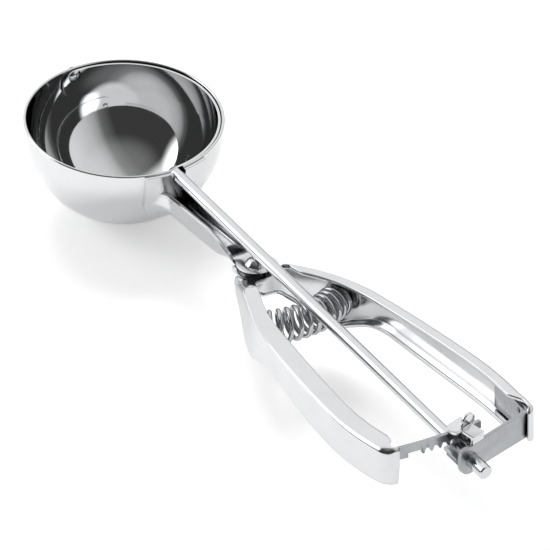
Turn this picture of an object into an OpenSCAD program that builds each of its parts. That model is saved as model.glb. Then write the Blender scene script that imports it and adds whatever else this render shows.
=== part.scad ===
// Lever ice cream scoop: bowl, sweeping blade, rod, rack and pinion, two sprung handles.
// Origin: centre of the bowl's rim plane. +X runs along the rod to the handle ends, +Z is up.
// Lengths are millimetres, angles are degrees.

/* [Shown] */
// Which piece is drawn

/* [Bowl] */
// Outside diameter of the bowl
bowl_d = 60; // [56:1:64]
// Sheet thickness of the bowl
bowl_wall = 1.0; // [0.8:0.1:1.2]
// Height of the rim over the rod's axis
rim_rise = 2.3; // [2.2:0.1:2.6]

/* [Blade] */
// Width of the blade's band
blade_w = 9; // [8:0.5:10]
// Thickness of the blade
blade_t = 0.7; // [0.6:0.1:0.9]
// Height of the blade's upper edge over the rod's axis, at rest
blade_rise = 1.7; // [1.6:0.1:1.8]

/* [Neck] */
// Distance from the bowl's centre to the pivot of the handles
pivot_x = 73; // [71:1:75]
// Outer width of the neck's trough
neck_w = 8.8; // [8.4:0.2:9.2]
// Height of the trough's walls over the pivot plate
neck_rise = 3; // [2.5:0.1:3.2]

/* [Handles] */
// Thickness of the handle's sheet
sheet = 1.2; // [1:0.1:1.3]
// Width of the lever's upper and lower flange
flange_w = 6.2; // [5.5:0.1:6.5]
// Height of the handle's upper face over the pivot plate
handle_rise = 1.7; // [1.5:0.1:1.9]
// Slope of the handles against the rod
tilt = 5; // [4.8:0.1:5.2]

/* [Mechanism] */
// Diameter of the rod
rod_d = 3.8; // [3.6:0.1:4]
// Length of the journal's free end behind the end plate
journal_len = 7; // [5:0.5:8]
// Angle that the blade sweeps through
sweep = 168; // [150:2:168]

/* [Spring] */
// Number of curls
curls = 11; // [9:1:11]
// Diameter of the wire
wire_d = 1.5; // [1.2:0.1:1.5]
// Outer diameter of the coil
coil_d = 10.6; // [9.6:0.1:10.6]

/* [Hidden] */
$fn = 96;
steel = [0.78, 0.79, 0.80];
polished = [0.86, 0.87, 0.88];
wire = [0.55, 0.56, 0.58];
eps = 0.02;

// bowl and blade
bowl_r = bowl_d / 2;
axis_z = -rim_rise;
running = 0.08;
pin_r = 1.2;
head_r = 2.1;
head_h = 0.9;
notch_gap = 0.25;
blade_gap = 0.25;
blade_out = bowl_r - bowl_wall - blade_gap;
blade_in = blade_out - blade_t;
blade_mid = blade_rise - blade_w / 2;
head_x = sqrt(pow(blade_in, 2) - pow(head_r, 2)) - eps;

// saddle plate on the bowl
saddle_t = 1.2;
saddle_half = 10.3;
saddle_drop = 9;
saddle_out = bowl_r + eps + saddle_t;

// pivot
pivot_z = -6.7;
tab_r = 5.8;
box_half = 5.3;
lug_r = 3.1;
rivet_r = 1.9;
rivet_head = 3.2;
rivet_dome = 1.9;
tab_low = -sheet;
box_low = -8;
lug_gap = 0.1;
split_x = 4;
// curved back wall of the housing: inner radius, centre of its arc, reach to the left
wall_r = 12;
wall_c = lug_r + 0.25 + sheet + wall_r;
wall_left = 4.4;
wall_reach = norm([wall_c - sqrt(pow(wall_r, 2) - pow(wall_left, 2)), wall_left]);

// radius of the lever's end wall and of the rack, about the pivot
rack_r = 106.7;

// plan of the handles: turning headings and radii of the outer face, from the pivot
fixed_from = [split_x, 4.8];
fixed_turn = 43;
fixed_r = 60;
lever_from = [1.5, 8];
lever_turn = 22;
lever_run = 22;
lever_r = 87;
waist_turn = 9;
grip_turn = 4.5;
grip_x = 77;
end_turn = -12;
end_x = rack_r - 5.7;
fixed_end_x = rack_r + 2.3;
fixed_end_r = 130;
corner = 2;
fixed_flange = 4.2;
// how far the lever's upper flange is cut back near the pivot, on its inside
cut_back = [[2, 7], [11.5, 7.5], [23, 12]];
// overlap of neighbouring stretches, and the step between them
lap = 0.3;
hair = 0.02;

// side outline of the handles
hump = [17.5, -5.2];
hump_r = 11;
// the section's web reaches below the hump
web_deep = hump_r - hump[1] + 1.4;
near_low = -7.5;
fixed_low = -9.2;
waist_x = 38;
belly_x = 92;
belly_r = 420;
belly_low = -10.9;

// rack and pinion
gear_module = 0.85;
teeth = 8;
pitch_r = gear_module * teeth / 2;
pitch = PI * gear_module;
tooth_up = 0.75 * gear_module;
tooth_down = 0.95 * gear_module;
rack_mid = rack_r - sheet / 2;
wall_edge = 19.3;
rack_free = 7;
// height of the rod's axis in the handles' plane, where the rack crosses it
axis_up = (axis_z - pivot_z) * cos(tilt) - (rack_mid - (axis_z - pivot_z) * sin(tilt)) * tan(tilt);
rack_pitch_z = axis_up + pitch_r / cos(tilt);
// where the rack crosses the rod
cross_x = pivot_x + rack_mid * cos(tilt) - rack_pitch_z * sin(tilt);
pinion_from = cross_x - 1.8;
plate_x = cross_x + 6.6;
plate_turn = 12;
// the pinion ends short of the slanted plate
pinion_to = plate_x - sheet / cos(plate_turn) - (pitch_r + tooth_up) * tan(plate_turn) - 0.2;
journal_r = 2.15;
plate_r = 4.6;
plate_gap = 0.2;
// the plate lies between the handle's flanges
plate_top = plane_z(fixed_end_x - 4) + (handle_rise - sheet - plate_gap) / cos(tilt);
plate_low = plane_z(fixed_end_x) + (belly_side(fixed_end_x) + sheet + plate_gap) / cos(tilt);

// spring, on an arc about the pivot
spring_r = 26.2;
coil_r = (coil_d - wire_d) / 2;
// the coil passes under the rod
rod_gap = 0.35;
spring_z = axis_z - rod_d / 2 - rod_gap - coil_d / 2 - plane_z(spring_r);
spring_half = 30;
seat_r = coil_d / 2 - 0.2;
stud_r = coil_r - wire_d / 2 - 0.5;
curl_steps = 8;
wire_sides = 6;
// share by which the curls stand wider apart at the lever's side
spread = 0.17;

// squeeze of the lever that carries the blade through its sweep
squeeze = sweep * pitch_r / rack_mid;
echo(squeeze_deg = squeeze, ratio = -rack_mid / pitch_r, rack_pitch_z = rack_pitch_z);

// height of the handles' plane over the world's, at a distance from the pivot
function plane_z(x) = pivot_z + x * tan(tilt);

// ---------- paths ----------

// point reached from p on an arc that turns right from heading h0 to h1
function arc_end(p, h0, h1, r) = p + r * [sin(h0) - sin(h1), cos(h1) - cos(h0)];

// centre of an arc that turns right, from a point and the heading there
function arc_centre(p, h, r) = p + r * [sin(h), -cos(h)];

// radius that carries an arc from heading h0 to h1 over the distance dx
function arc_over(dx, h0, h1) = dx / (sin(h0) - sin(h1));

fixed_1 = arc_end(fixed_from, fixed_turn, waist_turn, fixed_r);
fixed_2r = arc_over(grip_x - fixed_1[0], waist_turn, grip_turn);
fixed_2 = arc_end(fixed_1, waist_turn, grip_turn, fixed_2r);
fixed_end_turn = asin(sin(grip_turn) - (fixed_end_x - grip_x) / fixed_end_r);

lever_1 = lever_from + lever_run * [cos(lever_turn), sin(lever_turn)];
lever_2 = arc_end(lever_1, lever_turn, waist_turn, lever_r);
lever_3r = arc_over(grip_x - lever_2[0], waist_turn, grip_turn);
lever_3 = arc_end(lever_2, waist_turn, grip_turn, lever_3r);
lever_4r = arc_over(end_x - grip_x, grip_turn, end_turn);
lever_4 = arc_end(lever_3, grip_turn, end_turn, lever_4r);
// corner arc that runs tangent into the end wall
lever_normal = [sin(end_turn), -cos(end_turn)];
lever_5r = (rack_r * rack_r - lever_4 * lever_4) / (2 * (rack_r + lever_4 * lever_normal));
lever_5c = arc_centre(lever_4, end_turn, lever_5r);
lever_5_turn = atan2(lever_5c[1], lever_5c[0]) - 90;

// ---------- helpers ----------

// the handles' plane: origin on the pivot plate, X away from the bowl
module in_plane() {
    translate([pivot_x, 0, pivot_z])
        rotate([0, -tilt, 0])
            children();
}

// a round bar on the rod's axis
module on_axis(x0, x1, r) {
    translate([x0, 0, axis_z])
        rotate([0, 90, 0])
            cylinder(r = r, h = x1 - x0);
}

// solid of the bowl's shape at a given radius, cut off at the rim
module bowl_form(r) {
    intersection() {
        union() {
            translate([0, 0, axis_z]) sphere(r);
            translate([0, 0, axis_z]) cylinder(r = r, h = rim_rise);
        }
        translate([-2 * r, -2 * r, -4 * r]) cube(4 * r);
    }
}

// open slot for the rod, from the axis up
module rod_slot(x0, x1, r) {
    on_axis(x0, x1, r);
    translate([x0, -r, axis_z]) cube([x1 - x0, 2 * r, rim_rise + 1]);
}

// dome with a flat foot of radius r and height h, standing on z = 0
module dome(r, h) {
    ball = (r * r + h * h) / (2 * h);
    intersection() {
        translate([0, 0, h - ball]) sphere(ball);
        cylinder(r = r, h = h);
    }
}

// sweeps a section along an arc that turns right; the section's x = 0 is the outer face.
// Each stretch laps into the next, which stands in and down by a hair, so that no faces coincide.
module along_arc(p, h0, h1, r, inset = 0, lap = lap) {
    c = arc_centre(p, h0, r);
    reach = h0 - h1 + lap / r * 180 / PI;
    translate([c[0], c[1], 0])
        rotate([0, 0, 90 + h0 - reach])
            rotate_extrude(angle = reach, $fn = 120)
                intersection() {
                    translate([r - inset, -inset]) children();
                    translate([0, -50]) square([r + 1, 100]);
                }
}

// sweeps a section along a straight run
module along_run(p, h, run) {
    translate([p[0], p[1], 0])
        rotate([0, 0, h])
            rotate([90, 0, 90])
                linear_extrude(run + lap)
                    children();
}

// web and upper flange with a rounded outer corner
module upper_section(wide) {
    difference() {
        union() {
            translate([-wide, -web_deep])
                square([wide, web_deep + handle_rise - corner]);
            translate([-wide, handle_rise - corner])
                square([wide - corner, corner]);
            translate([-corner, handle_rise - corner])
                circle(corner, $fn = 32);
        }
        translate([-wide - 1, -web_deep - 1])
            square([wide + 1 - sheet, web_deep + 1 + handle_rise - corner]);
        translate([-wide - 1, handle_rise - corner - eps])
            square([wide + 1 - corner, corner - sheet + eps]);
        translate([-corner, handle_rise - corner])
            circle(corner - sheet, $fn = 32);
    }
}

// full width of the channel, from which the lower flange is cut
module full_section(wide) {
    translate([-wide, -web_deep]) square([wide, web_deep]);
}

// side view of a handle: hump for the finger near the pivot, waist, long belly
module side_outline(near_x, low) {
    hump_in = hump_r - 0.1;
    translate(hump) circle(hump_r);
    polygon([
        [near_x, handle_rise + 1], [near_x, low],
        [hump[0] - hump_in * cos(38), hump[1] - hump_in * sin(38)],
        [hump[0] + hump_in * cos(52), hump[1] - hump_in * sin(52)],
        [waist_x, belly_side(waist_x) + 0.05], [waist_x + lap, belly_side(waist_x) + 0.05],
        [waist_x + lap, handle_rise + 1]
    ]);
    intersection() {
        translate([belly_x, belly_r + belly_low]) circle(belly_r, $fn = 360);
        translate([waist_x, -web_deep]) square([rack_r, web_deep + handle_rise + 1]);
    }
}

// height of the belly's lower edge
function belly_side(x) = belly_r + belly_low - sqrt(pow(belly_r, 2) - pow(x - belly_x, 2));

module side_solid(near_x, low) {
    rotate([90, 0, 0])
        linear_extrude(80, center = true)
            side_outline(near_x, low);
}

// lower sheet of the channel, as thick as the web
module side_sheet(near_x, low) {
    difference() {
        side_solid(near_x, low);
        translate([0, 0, sheet]) side_solid(near_x, low);
        translate([0, -50, 0]) cube([200, 100, 20]);
    }
}

// ---------- frame ----------

module bowl() {
    color(polished)
    difference() {
        bowl_form(bowl_r);
        translate([0, 0, axis_z]) sphere(bowl_r - bowl_wall);
        translate([0, 0, axis_z]) cylinder(r = bowl_r - bowl_wall, h = rim_rise + 1);
        rod_slot(bowl_r - 3, bowl_r + 3, rod_d / 2 + notch_gap);
        on_axis(-bowl_r - 3, -bowl_r + 3, pin_r + running);
    }
}

// plate that hugs the back of the bowl
module saddle() {
    color(steel)
    difference() {
        intersection() {
            bowl_form(saddle_out);
            rotate([90, 0, 90])
                linear_extrude(bowl_d)
                    saddle_outline();
        }
        bowl_form(bowl_r + eps);
        translate([0, 0, -0.4]) cylinder(r = bowl_d, h = 5);
        rod_slot(bowl_r - 3, bowl_r + 4, rod_d / 2 + notch_gap);
    }
}

module saddle_outline() {
    translate([-saddle_half, -saddle_drop]) square([2 * saddle_half, saddle_drop + 1]);
    translate([0, -saddle_drop]) circle(saddle_half);
}

flare_r = 8;
flare_x = bowl_r + 9 - pivot_x;
trough_x = bowl_r - 6 - pivot_x;
trough_end = -4.5;
neck_low = -4.1;
neck_corner = 2.2;
ramp_from = -16;
step_x = -6;

// trough under the rod, flared onto the saddle, with the pivot's housing at its end
module neck() {
    color(steel)
    difference() {
        in_plane() {
            trough();
            flare();
            floor_step();
            housing();
        }
        bowl_form(saddle_out);
        translate([0, 0, -0.6]) cylinder(r = bowl_d, h = 5);
        in_plane() pivot_hole(rivet_r);
    }
}

module trough_outline(inset) {
    half = neck_w / 2 - inset;
    low = neck_low + inset;
    r = neck_corner - inset;
    translate([-half, low + r]) square([2 * half, 20]);
    translate([r - half, low]) square([2 * (half - r), r + eps]);
    for (side = [-1, 1])
        translate([side * (half - r), low + r]) circle(r);
}

module trough() {
    difference() {
        translate([trough_x, 0, 0])
            rotate([90, 0, 90])
                linear_extrude(trough_end - trough_x)
                    difference() {
                        trough_outline(0);
                        trough_outline(sheet);
                    }
        // top edge, and its fall to the pivot plate
        translate([trough_x - 1, -neck_w, neck_rise]) cube([60, 2 * neck_w, 30]);
        translate([trough_end, 0, 0])
            rotate([0, atan(neck_rise / (trough_end - ramp_from)), 0])
                translate([-30, -neck_w, 0])
                    cube([40, 2 * neck_w, 30]);
        // the floor ends at the step
        translate([2 * step_x, -neck_w / 2 + sheet, neck_low - 1])
            cube([20, neck_w - 2 * sheet, 4]);
    }
}

// floor that rises from the trough to the pivot plate
module floor_step() {
    rotate([90, 0, 0])
        linear_extrude(neck_w - sheet, center = true)
            polygon([
                [2 * step_x - 0.3, neck_low], [2 * step_x - 0.3, neck_low + sheet],
                [step_x, 0], [0, 0], [0, tab_low], [step_x + sheet / 2, tab_low],
                [2 * step_x + sheet / 2, neck_low]
            ]);
}

// two cheeks that sweep from the trough's walls out to the saddle
module flare() {
    top_r = 12;
    intersection() {
        difference() {
            union() {
                for (side = [-1, 1])
                    translate([flare_x, side * (neck_w / 2 + flare_r), neck_low])
                        difference() {
                            cylinder(r = flare_r + sheet, h = 20);
                            translate([0, 0, -1]) cylinder(r = flare_r, h = 22);
                        }
            }
            translate([flare_x, 50, neck_rise + top_r - 1])
                rotate([90, 0, 0])
                    cylinder(r = top_r, h = 100);
        }
        translate([trough_x, -saddle_half, neck_low + 0.5])
            cube([flare_x - trough_x, 2 * saddle_half, 20]);
    }
}

// pivot plate, side wall, curved back wall and lower lug
module housing() {
    translate([0, 0, tab_low]) cylinder(r = tab_r, h = sheet);
    translate([-8, box_half - sheet, box_low])
        cube([8 + split_x, sheet, tab_low - box_low + eps]);
    back_wall();
    translate([0, 0, box_low]) linear_extrude(sheet) {
        circle(lug_r);
        translate([-lug_r, 0]) square([2 * lug_r, box_half]);
        translate([0, -2]) square([split_x, box_half]);
    }
}

module back_wall() {
    intersection() {
        translate([wall_c, 0, box_low])
            difference() {
                cylinder(r = wall_r + sheet, h = tab_low - box_low + eps);
                translate([0, 0, -1]) cylinder(r = wall_r, h = 20);
            }
        translate([1, -wall_left, box_low]) cube([6, wall_left + box_half - sheet, 20]);
    }
}

module pivot_hole(r) {
    translate([0, 0, -20]) cylinder(r = r, h = 40);
}

// fixed handle: a channel open to the inside
module fixed_handle() {
    color(polished)
    in_plane()
        difference() {
            union() {
                intersection() {
                    fixed_path() upper_section(fixed_flange);
                    side_solid(split_x, fixed_low);
                }
                intersection() {
                    fixed_path() full_section(fixed_flange);
                    side_sheet(split_x, fixed_low);
                }
            }
            pivot_hole(tab_r + 0.3);
            translate([-20, -50, -50]) cube([20 + split_x, 100, 100]);
        }
}

module fixed_path() {
    along_arc(fixed_from, fixed_turn, waist_turn, fixed_r) children();
    along_arc(fixed_1, waist_turn, grip_turn, fixed_2r, inset = hair) children();
    along_arc(fixed_2, grip_turn, fixed_end_turn, fixed_end_r, lap = 0) children();
}

leg_turn = -1;
leg_clear = 0.25;
leg_top = handle_rise - corner - leg_clear;
leg_low = belly_low + sheet + 0.6;

// plate across the handle's end, with a leg welded inside the channel and a bearing for the rod
module end_plate() {
    color(steel)
    difference() {
        union() {
            difference() {
                translate([plate_x, 0, 0])
                    rotate([0, 0, plate_turn])
                        rotate([90, 0, -90])
                            linear_extrude(sheet)
                                mirror([1, 0]) plate_outline();
                in_plane() beyond_leg();
            }
            in_plane() leg();
        }
        on_axis(plate_x - 10, plate_x + 10, journal_r + running);
    }
}

module plate_outline() {
    translate([0, plate_low]) square([30, plate_top - plate_low]);
    translate([-plate_r, axis_z]) square([plate_r, plate_top - axis_z]);
    translate([0, axis_z]) circle(plate_r);
}

// leg along the inside of the fixed handle's web
module leg() {
    from = arc_end(fixed_2, grip_turn, leg_turn, fixed_end_r);
    along_arc(from, leg_turn, fixed_end_turn + 0.5, fixed_end_r, lap = 0)
        translate([-2 * sheet - eps, leg_low])
            square([sheet, leg_top - leg_low]);
}

// all that lies outside the middle of the leg
module beyond_leg() {
    c = arc_centre(fixed_2, grip_turn, fixed_end_r);
    difference() {
        translate([60, 15, -30]) cube([80, 30, 60]);
        translate([c[0], c[1], -40]) cylinder(r = fixed_end_r - 1.5 * sheet - eps, h = 80, $fn = 360);
    }
}

// bridge over the rack, with a lip in front of it and an upright flag
module rack_guide() {
    bridge_low = 4.5;
    bridge_top = 5.6;
    front = -9.2;
    left = -2.6;
    right = 4.4;
    color(steel)
    translate([plate_x, 0, 0])
        rotate([0, 0, plate_turn]) {
            translate([front, left + 2.5, bridge_low]) cube([-front, right - left - 2.5, bridge_top - bridge_low]);
            translate([front + 2.5, left + 2.5, bridge_low]) cylinder(r = 2.5, h = bridge_top - bridge_low);
            translate([-sheet, left + 2.5, plate_top]) cube([sheet, right - left - 2.5, bridge_low - plate_top + eps]);
            translate([front, 0.6, 2.2]) cube([1.1, right - 0.6, bridge_low - 2.2 + eps]);
            translate([-6, right - 1.2, bridge_low]) flag();
        }
}

module flag() {
    flag_r = 2.4;
    rotate([90, 0, 90])
        linear_extrude(1.1) {
            translate([0, flag_r]) circle(flag_r);
            translate([-flag_r, 0]) square([2 * flag_r, flag_r]);
        }
}

// spot welds on the leg
module weld_dots() {
    dot_r = 0.8;
    dot_t = 0.2;
    dot_gap = 0.08;
    dot_face = fixed_end_r - 2 * sheet - eps - dot_t;
    c = arc_centre(fixed_2, grip_turn, fixed_end_r);
    color(wire)
    in_plane()
        for (z = [-2.5, -7.5])
            translate([c[0], c[1], z])
                rotate([0, 0, 90 + fixed_end_turn + 2.6])
                    translate([dot_face, 0, 0])
                        rotate([0, 90, 0])
                            cylinder(r = dot_r, h = dot_t - dot_gap, $fn = 32);
}

// rivet that the lever turns on
module pivot_rivet() {
    color(polished)
    in_plane() {
        translate([0, 0, box_low]) cylinder(r = rivet_r - running, h = -box_low);
        dome(rivet_head, rivet_dome);
        translate([0, 0, box_low]) mirror([0, 0, 1]) dome(rivet_head, 1.4);
    }
}

// washer between the lower lugs
module pivot_washer() {
    color(steel)
    in_plane()
        translate([0, 0, box_low + sheet])
            difference() {
                cylinder(r = lug_r, h = 0.4);
                translate([0, 0, -1]) cylinder(r = rivet_r, h = 3);
            }
}

// ---------- lever ----------

lug_low = box_low + sheet + 0.4 + lug_gap;

module lever_handle() {
    color(polished)
    in_plane()
        mirror([0, 1, 0])
            difference() {
                union() {
                    intersection() {
                        lever_path() upper_section(flange_w);
                        side_solid(lever_from[0] - 2, near_low);
                    }
                    difference() {
                        intersection() {
                            lever_path() full_section(flange_w);
                            side_sheet(lever_from[0] - 2, near_low);
                        }
                        pivot_hole(wall_reach + 0.3);
                    }
                    intersection() {
                        end_wall();
                        side_solid(0, near_low);
                    }
                    translate([0, 0, tab_low - lug_gap - sheet]) lug(10);
                    translate([0, 0, lug_low]) lug(14);
                }
                pivot_hole(rivet_r);
                translate([0, 0, tab_low - lug_gap]) cylinder(r = tab_r + 0.5, h = 20);
                translate([0, 0, tab_low]) linear_extrude(20)
                    polygon([[2, 0], each cut_back, [waist_x, lever_inside(waist_x)], [waist_x, 0]]);
            }
}

// inner edge of the lever's flange, at x
function lever_inside(x) =
    lever_1[1] - (lever_r - flange_w) * cos(lever_turn)
    + sqrt(pow(lever_r - flange_w, 2) - pow(x - lever_1[0] - lever_r * sin(lever_turn), 2))
    - flange_w * cos(lever_turn);

module lever_path() {
    along_run(lever_from, lever_turn, lever_run) children();
    along_arc(lever_1, lever_turn, waist_turn, lever_r, inset = hair) children();
    along_arc(lever_2, waist_turn, grip_turn, lever_3r) children();
    along_arc(lever_3, grip_turn, end_turn, lever_4r, inset = hair) children();
    along_arc(lever_4, end_turn, lever_5_turn, lever_5r) children();
}

// wall across the lever's end, on an arc about the pivot
module end_wall() {
    a0 = asin(wall_edge / rack_r);
    a1 = atan2(lever_5c[1], lever_5c[0]);
    rotate([0, 0, a0])
        rotate_extrude(angle = a1 - a0, $fn = 200)
            translate([rack_r - sheet - hair, -web_deep])
                square([sheet, web_deep + handle_rise - hair]);
}

// outer face of the lever's straight root, at x
function root_y(x) = lever_from[1] + (x - lever_from[0]) * tan(lever_turn);

// lug that carries the web's root on the rivet
module lug(reach) {
    linear_extrude(sheet) {
        circle(lug_r);
        polygon([
            [-lug_r * 0.4, lug_r * 0.9], [lug_r * 0.3, lug_r * 0.85],
            [2 * lever_from[0], root_y(2 * lever_from[0]) - 3], [reach, root_y(reach) - 3],
            [reach, root_y(reach) - sheet / 2], [lever_from[0] - 2, root_y(lever_from[0] - 2) - sheet / 2]
        ]);
    }
}

// toothed strip that continues the lever's end wall, its teeth pointing down
module rack() {
    a0 = -asin(wall_edge / rack_r);
    a1 = asin(rack_free / rack_r);
    root_z = rack_pitch_z + tooth_down;
    color(steel)
    in_plane() {
        rotate([0, 0, a0])
            rotate_extrude(angle = a1 - a0, $fn = 200)
                translate([rack_r - sheet, root_z])
                    square([sheet, handle_rise - root_z]);
        rotate([0, 0, a0])
            rotate_extrude(angle = 1.4, $fn = 200)
                translate([rack_r - sheet, rack_pitch_z - tooth_up])
                    square([sheet, root_z - rack_pitch_z + tooth_up + eps]);
        for (i = [-5 : 0])
            rotate([0, 0, (i + 0.5) * pitch / rack_mid * 180 / PI])
                translate([rack_r - sheet, 0, root_z + eps])
                    rotate([90, 0, 90])
                        linear_extrude(sheet)
                            rack_tooth();
    }
}

tooth_slim = 0.78;

module rack_tooth() {
    half = pitch / 4 * tooth_slim;
    deep = tooth_up + tooth_down + eps;
    polygon([
        [-half - tooth_down * tan(22), 0], [half + tooth_down * tan(22), 0],
        [half - tooth_up * tan(22), -deep], [-half + tooth_up * tan(22), -deep]
    ]);
}

// ---------- spring ----------

function spring_angle(u) = -spring_half + 2 * spring_half * (u + spread * u * (1 - u));
function spring_centre(a) = spring_r * [cos(a), sin(a), 0] + [0, 0, spring_z];
function coil_out(a, t) = cos(t) * [cos(a), sin(a), 0] + [0, 0, sin(t)];
function along(a) = [-sin(a), cos(a), 0];

coil_n = curls * curl_steps;
coil_points = [
    for (i = [0 : coil_n])
        let (a = spring_angle(i / coil_n))
            spring_centre(a) + coil_r * coil_out(a, 90 + i * 360 / curl_steps)
];
coil_ends = [
    coil_points[0] - wire_d * along(-spring_half),
    coil_points[coil_n] + wire_d * along(spring_half)
];
spring_path = [coil_ends[0], each coil_points, coil_ends[1]];
spring_side = [
    for (i = [0 : coil_n + 2])
        let (k = min(max(i - 1, 0), coil_n), a = spring_angle(k / coil_n))
            coil_out(a, 90 + k * 360 / curl_steps)
];
spring_count = len(spring_path);

function unit(v) = v / norm(v);
function heading(i) = unit(spring_path[min(i + 1, spring_count - 1)] - spring_path[max(i - 1, 0)]);

spring_points = [
    for (i = [0 : spring_count - 1])
        let (side = spring_side[i], up = unit(cross(heading(i), side)))
            for (k = [0 : wire_sides - 1])
                spring_path[i] + wire_d / 2 * (cos(k * 360 / wire_sides) * side + sin(k * 360 / wire_sides) * up)
];

// least gap between neighbouring curls, measured on the tube's points
spring_gap = min([
    for (i = [curl_steps + 1 : spring_count - 2])
        for (k = [0 : wire_sides - 1])
            for (m = [0 : wire_sides - 1])
                for (d = [-1 : 1])
                    norm(spring_points[i * wire_sides + k] - spring_points[(i - curl_steps + d) * wire_sides + m])
]);
echo(spring_gap = spring_gap, triangles = 2 * wire_sides * (spring_count - 1) + 2 * (wire_sides - 2));

module spring() {
    last = (spring_count - 1) * wire_sides;
    color(wire)
    in_plane()
        polyhedron(points = spring_points, faces = [
            for (i = [0 : spring_count - 2])
                for (k = [0 : wire_sides - 1])
                    let (a = i * wire_sides + k, b = i * wire_sides + (k + 1) % wire_sides)
                        each [[a, a + wire_sides, b], [b, a + wire_sides, b + wire_sides]],
            for (k = [1 : wire_sides - 2]) [0, k, k + 1],
            for (k = [1 : wire_sides - 2]) [last, last + k + 1, last + k]
        ]);
}

// seat on a handle's web, with a stud inside the coil
module seat(side) {
    rotate([0, 0, side * spring_half])
        translate([spring_r, side * (wire_d + eps), spring_z])
            rotate([-side * 90, 0, 0]) {
                cylinder(r = seat_r, h = 8);
                translate([0, 0, -2.2 * wire_d]) cylinder(r = stud_r, h = 8);
            }
}

module fixed_seat() {
    c = arc_centre(fixed_from, fixed_turn, fixed_r);
    color(steel)
    in_plane()
        intersection() {
            seat(1);
            translate([c[0], c[1], -20]) cylinder(r = fixed_r - sheet - 3 * eps, h = 40, $fn = 360);
        }
}

module lever_seat() {
    c = arc_centre(lever_1, lever_turn, lever_r);
    color(steel)
    in_plane()
        intersection() {
            seat(-1);
            translate([c[0], -c[1], -20]) cylinder(r = lever_r - sheet - hair - 3 * eps, h = 40, $fn = 360);
        }
}

// ---------- blade and its drive ----------

module drive_rod() {
    color(polished) {
        on_axis(blade_out + 0.05, pinion_from, rod_d / 2);
        on_axis(head_x, blade_out + 0.05 + eps, pin_r);
    }
}

// toothed wheel under the rack
module pinion() {
    color(steel)
    translate([pinion_from, 0, axis_z])
        rotate([90, 0, 90])
            union() {
                cylinder(r = pitch_r - tooth_down, h = pinion_to - pinion_from);
                for (i = [0 : teeth - 1])
                    rotate(i * 360 / teeth)
                        linear_extrude(pinion_to - pinion_from)
                            pinion_tooth();
            }
}

module pinion_tooth() {
    half = pitch / 4 * tooth_slim;
    foot = pitch_r - tooth_down - 0.5;
    polygon([
        [-half - 0.35, foot], [-half, pitch_r - 0.1], [-half * 0.45, pitch_r + tooth_up],
        [half * 0.45, pitch_r + tooth_up], [half, pitch_r - 0.1], [half + 0.35, foot]
    ]);
}

// free end that turns in the end plate
module journal() {
    color(polished)
    on_axis(pinion_to, plate_x + journal_len, journal_r);
}

// half ring that lies against the inside of the bowl
module blade() {
    color(polished)
    difference() {
        intersection() {
            difference() {
                translate([0, 0, axis_z]) sphere(blade_out);
                translate([0, 0, axis_z]) sphere(blade_in);
            }
            rotate([90, 0, 90])
                linear_extrude(bowl_d, center = true)
                    blade_outline();
        }
        on_axis(-bowl_r, bowl_r, pin_r);
    }
}

module blade_outline() {
    end_y = 0.4;
    translate([end_y, axis_z + blade_mid - blade_w / 2]) square([bowl_r, blade_w]);
    translate([end_y, axis_z + blade_mid]) circle(blade_w / 2);
}

// riveted head of the rod, inside the blade
module near_rivet() {
    color(polished)
    inner_head();
}

// domed head whose foot stands on the blade's inner face
module inner_head() {
    translate([head_x, 0, axis_z])
        rotate([0, -90, 0])
            dome(head_r, head_h);
}

// pin that carries the blade in the bowl's far wall
module far_pin() {
    color(polished)
    union() {
        mirror([1, 0, 0]) inner_head();
        on_axis(-bowl_r - 0.2, -head_x, pin_r);
        translate([-bowl_r - 0.2, 0, axis_z])
            rotate([0, -90, 0])
                dome(head_r, 0.8);
    }
}

// ---------- assembly ----------

bowl();
saddle();
neck();
fixed_handle();
end_plate();
rack_guide();
weld_dots();
pivot_rivet();
pivot_washer();
fixed_seat();
lever_handle();
rack();
lever_seat();
spring();
drive_rod();
pinion();
journal();
blade();
near_rivet();
far_pin();
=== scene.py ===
# %% [markdown]
# # A squeeze-handle ice cream scoop in polished steel
# The scoop is pressed, turned and wound from stainless steel. Its exact solids come from the
# frame, where every piece already has its place. Blender gives the sheet metal its rolled
# edges, the coil its round wire, and every surface its polish.

# %% Load the frame
import math

import bmesh
import bpy
import numpy as np
from mathutils import Matrix, Vector


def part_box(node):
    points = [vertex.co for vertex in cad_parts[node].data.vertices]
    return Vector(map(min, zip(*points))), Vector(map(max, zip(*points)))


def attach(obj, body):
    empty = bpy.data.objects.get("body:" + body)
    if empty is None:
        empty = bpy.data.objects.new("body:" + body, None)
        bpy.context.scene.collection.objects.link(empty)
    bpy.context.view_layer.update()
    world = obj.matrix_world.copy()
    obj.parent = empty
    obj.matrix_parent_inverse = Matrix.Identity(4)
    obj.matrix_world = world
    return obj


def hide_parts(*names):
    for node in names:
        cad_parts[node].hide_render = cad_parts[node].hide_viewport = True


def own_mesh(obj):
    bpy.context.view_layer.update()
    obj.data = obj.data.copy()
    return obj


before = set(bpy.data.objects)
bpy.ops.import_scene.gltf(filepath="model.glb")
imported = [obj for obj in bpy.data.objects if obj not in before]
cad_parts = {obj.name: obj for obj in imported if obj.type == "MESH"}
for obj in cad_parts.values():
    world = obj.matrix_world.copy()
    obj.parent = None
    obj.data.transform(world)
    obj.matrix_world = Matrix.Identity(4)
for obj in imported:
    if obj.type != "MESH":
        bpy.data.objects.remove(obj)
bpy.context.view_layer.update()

# %% [markdown]
# ## Sizes
# Lengths are in millimetres, as a drawing gives them, and turn into metres at the last moment.
# The handles lie in a plane of their own, which tilts by five degrees about the pivot.

# %% Sizes shared by the pieces
MM = 0.001
# points that lie closer than this are one point
MERGE = 0.004
SHEET = 1.2
# the rod's axis, which also runs through the centre of the bowl's ball
AXIS_Z = -2.3
BOWL_R = 30.0
BOWL_WALL = 1.0
# the lever's pivot, and the tilt of the handles' plane there
PIVOT = np.array([73.0, 0.0, -6.7])
TILT = math.radians(5)
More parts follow.
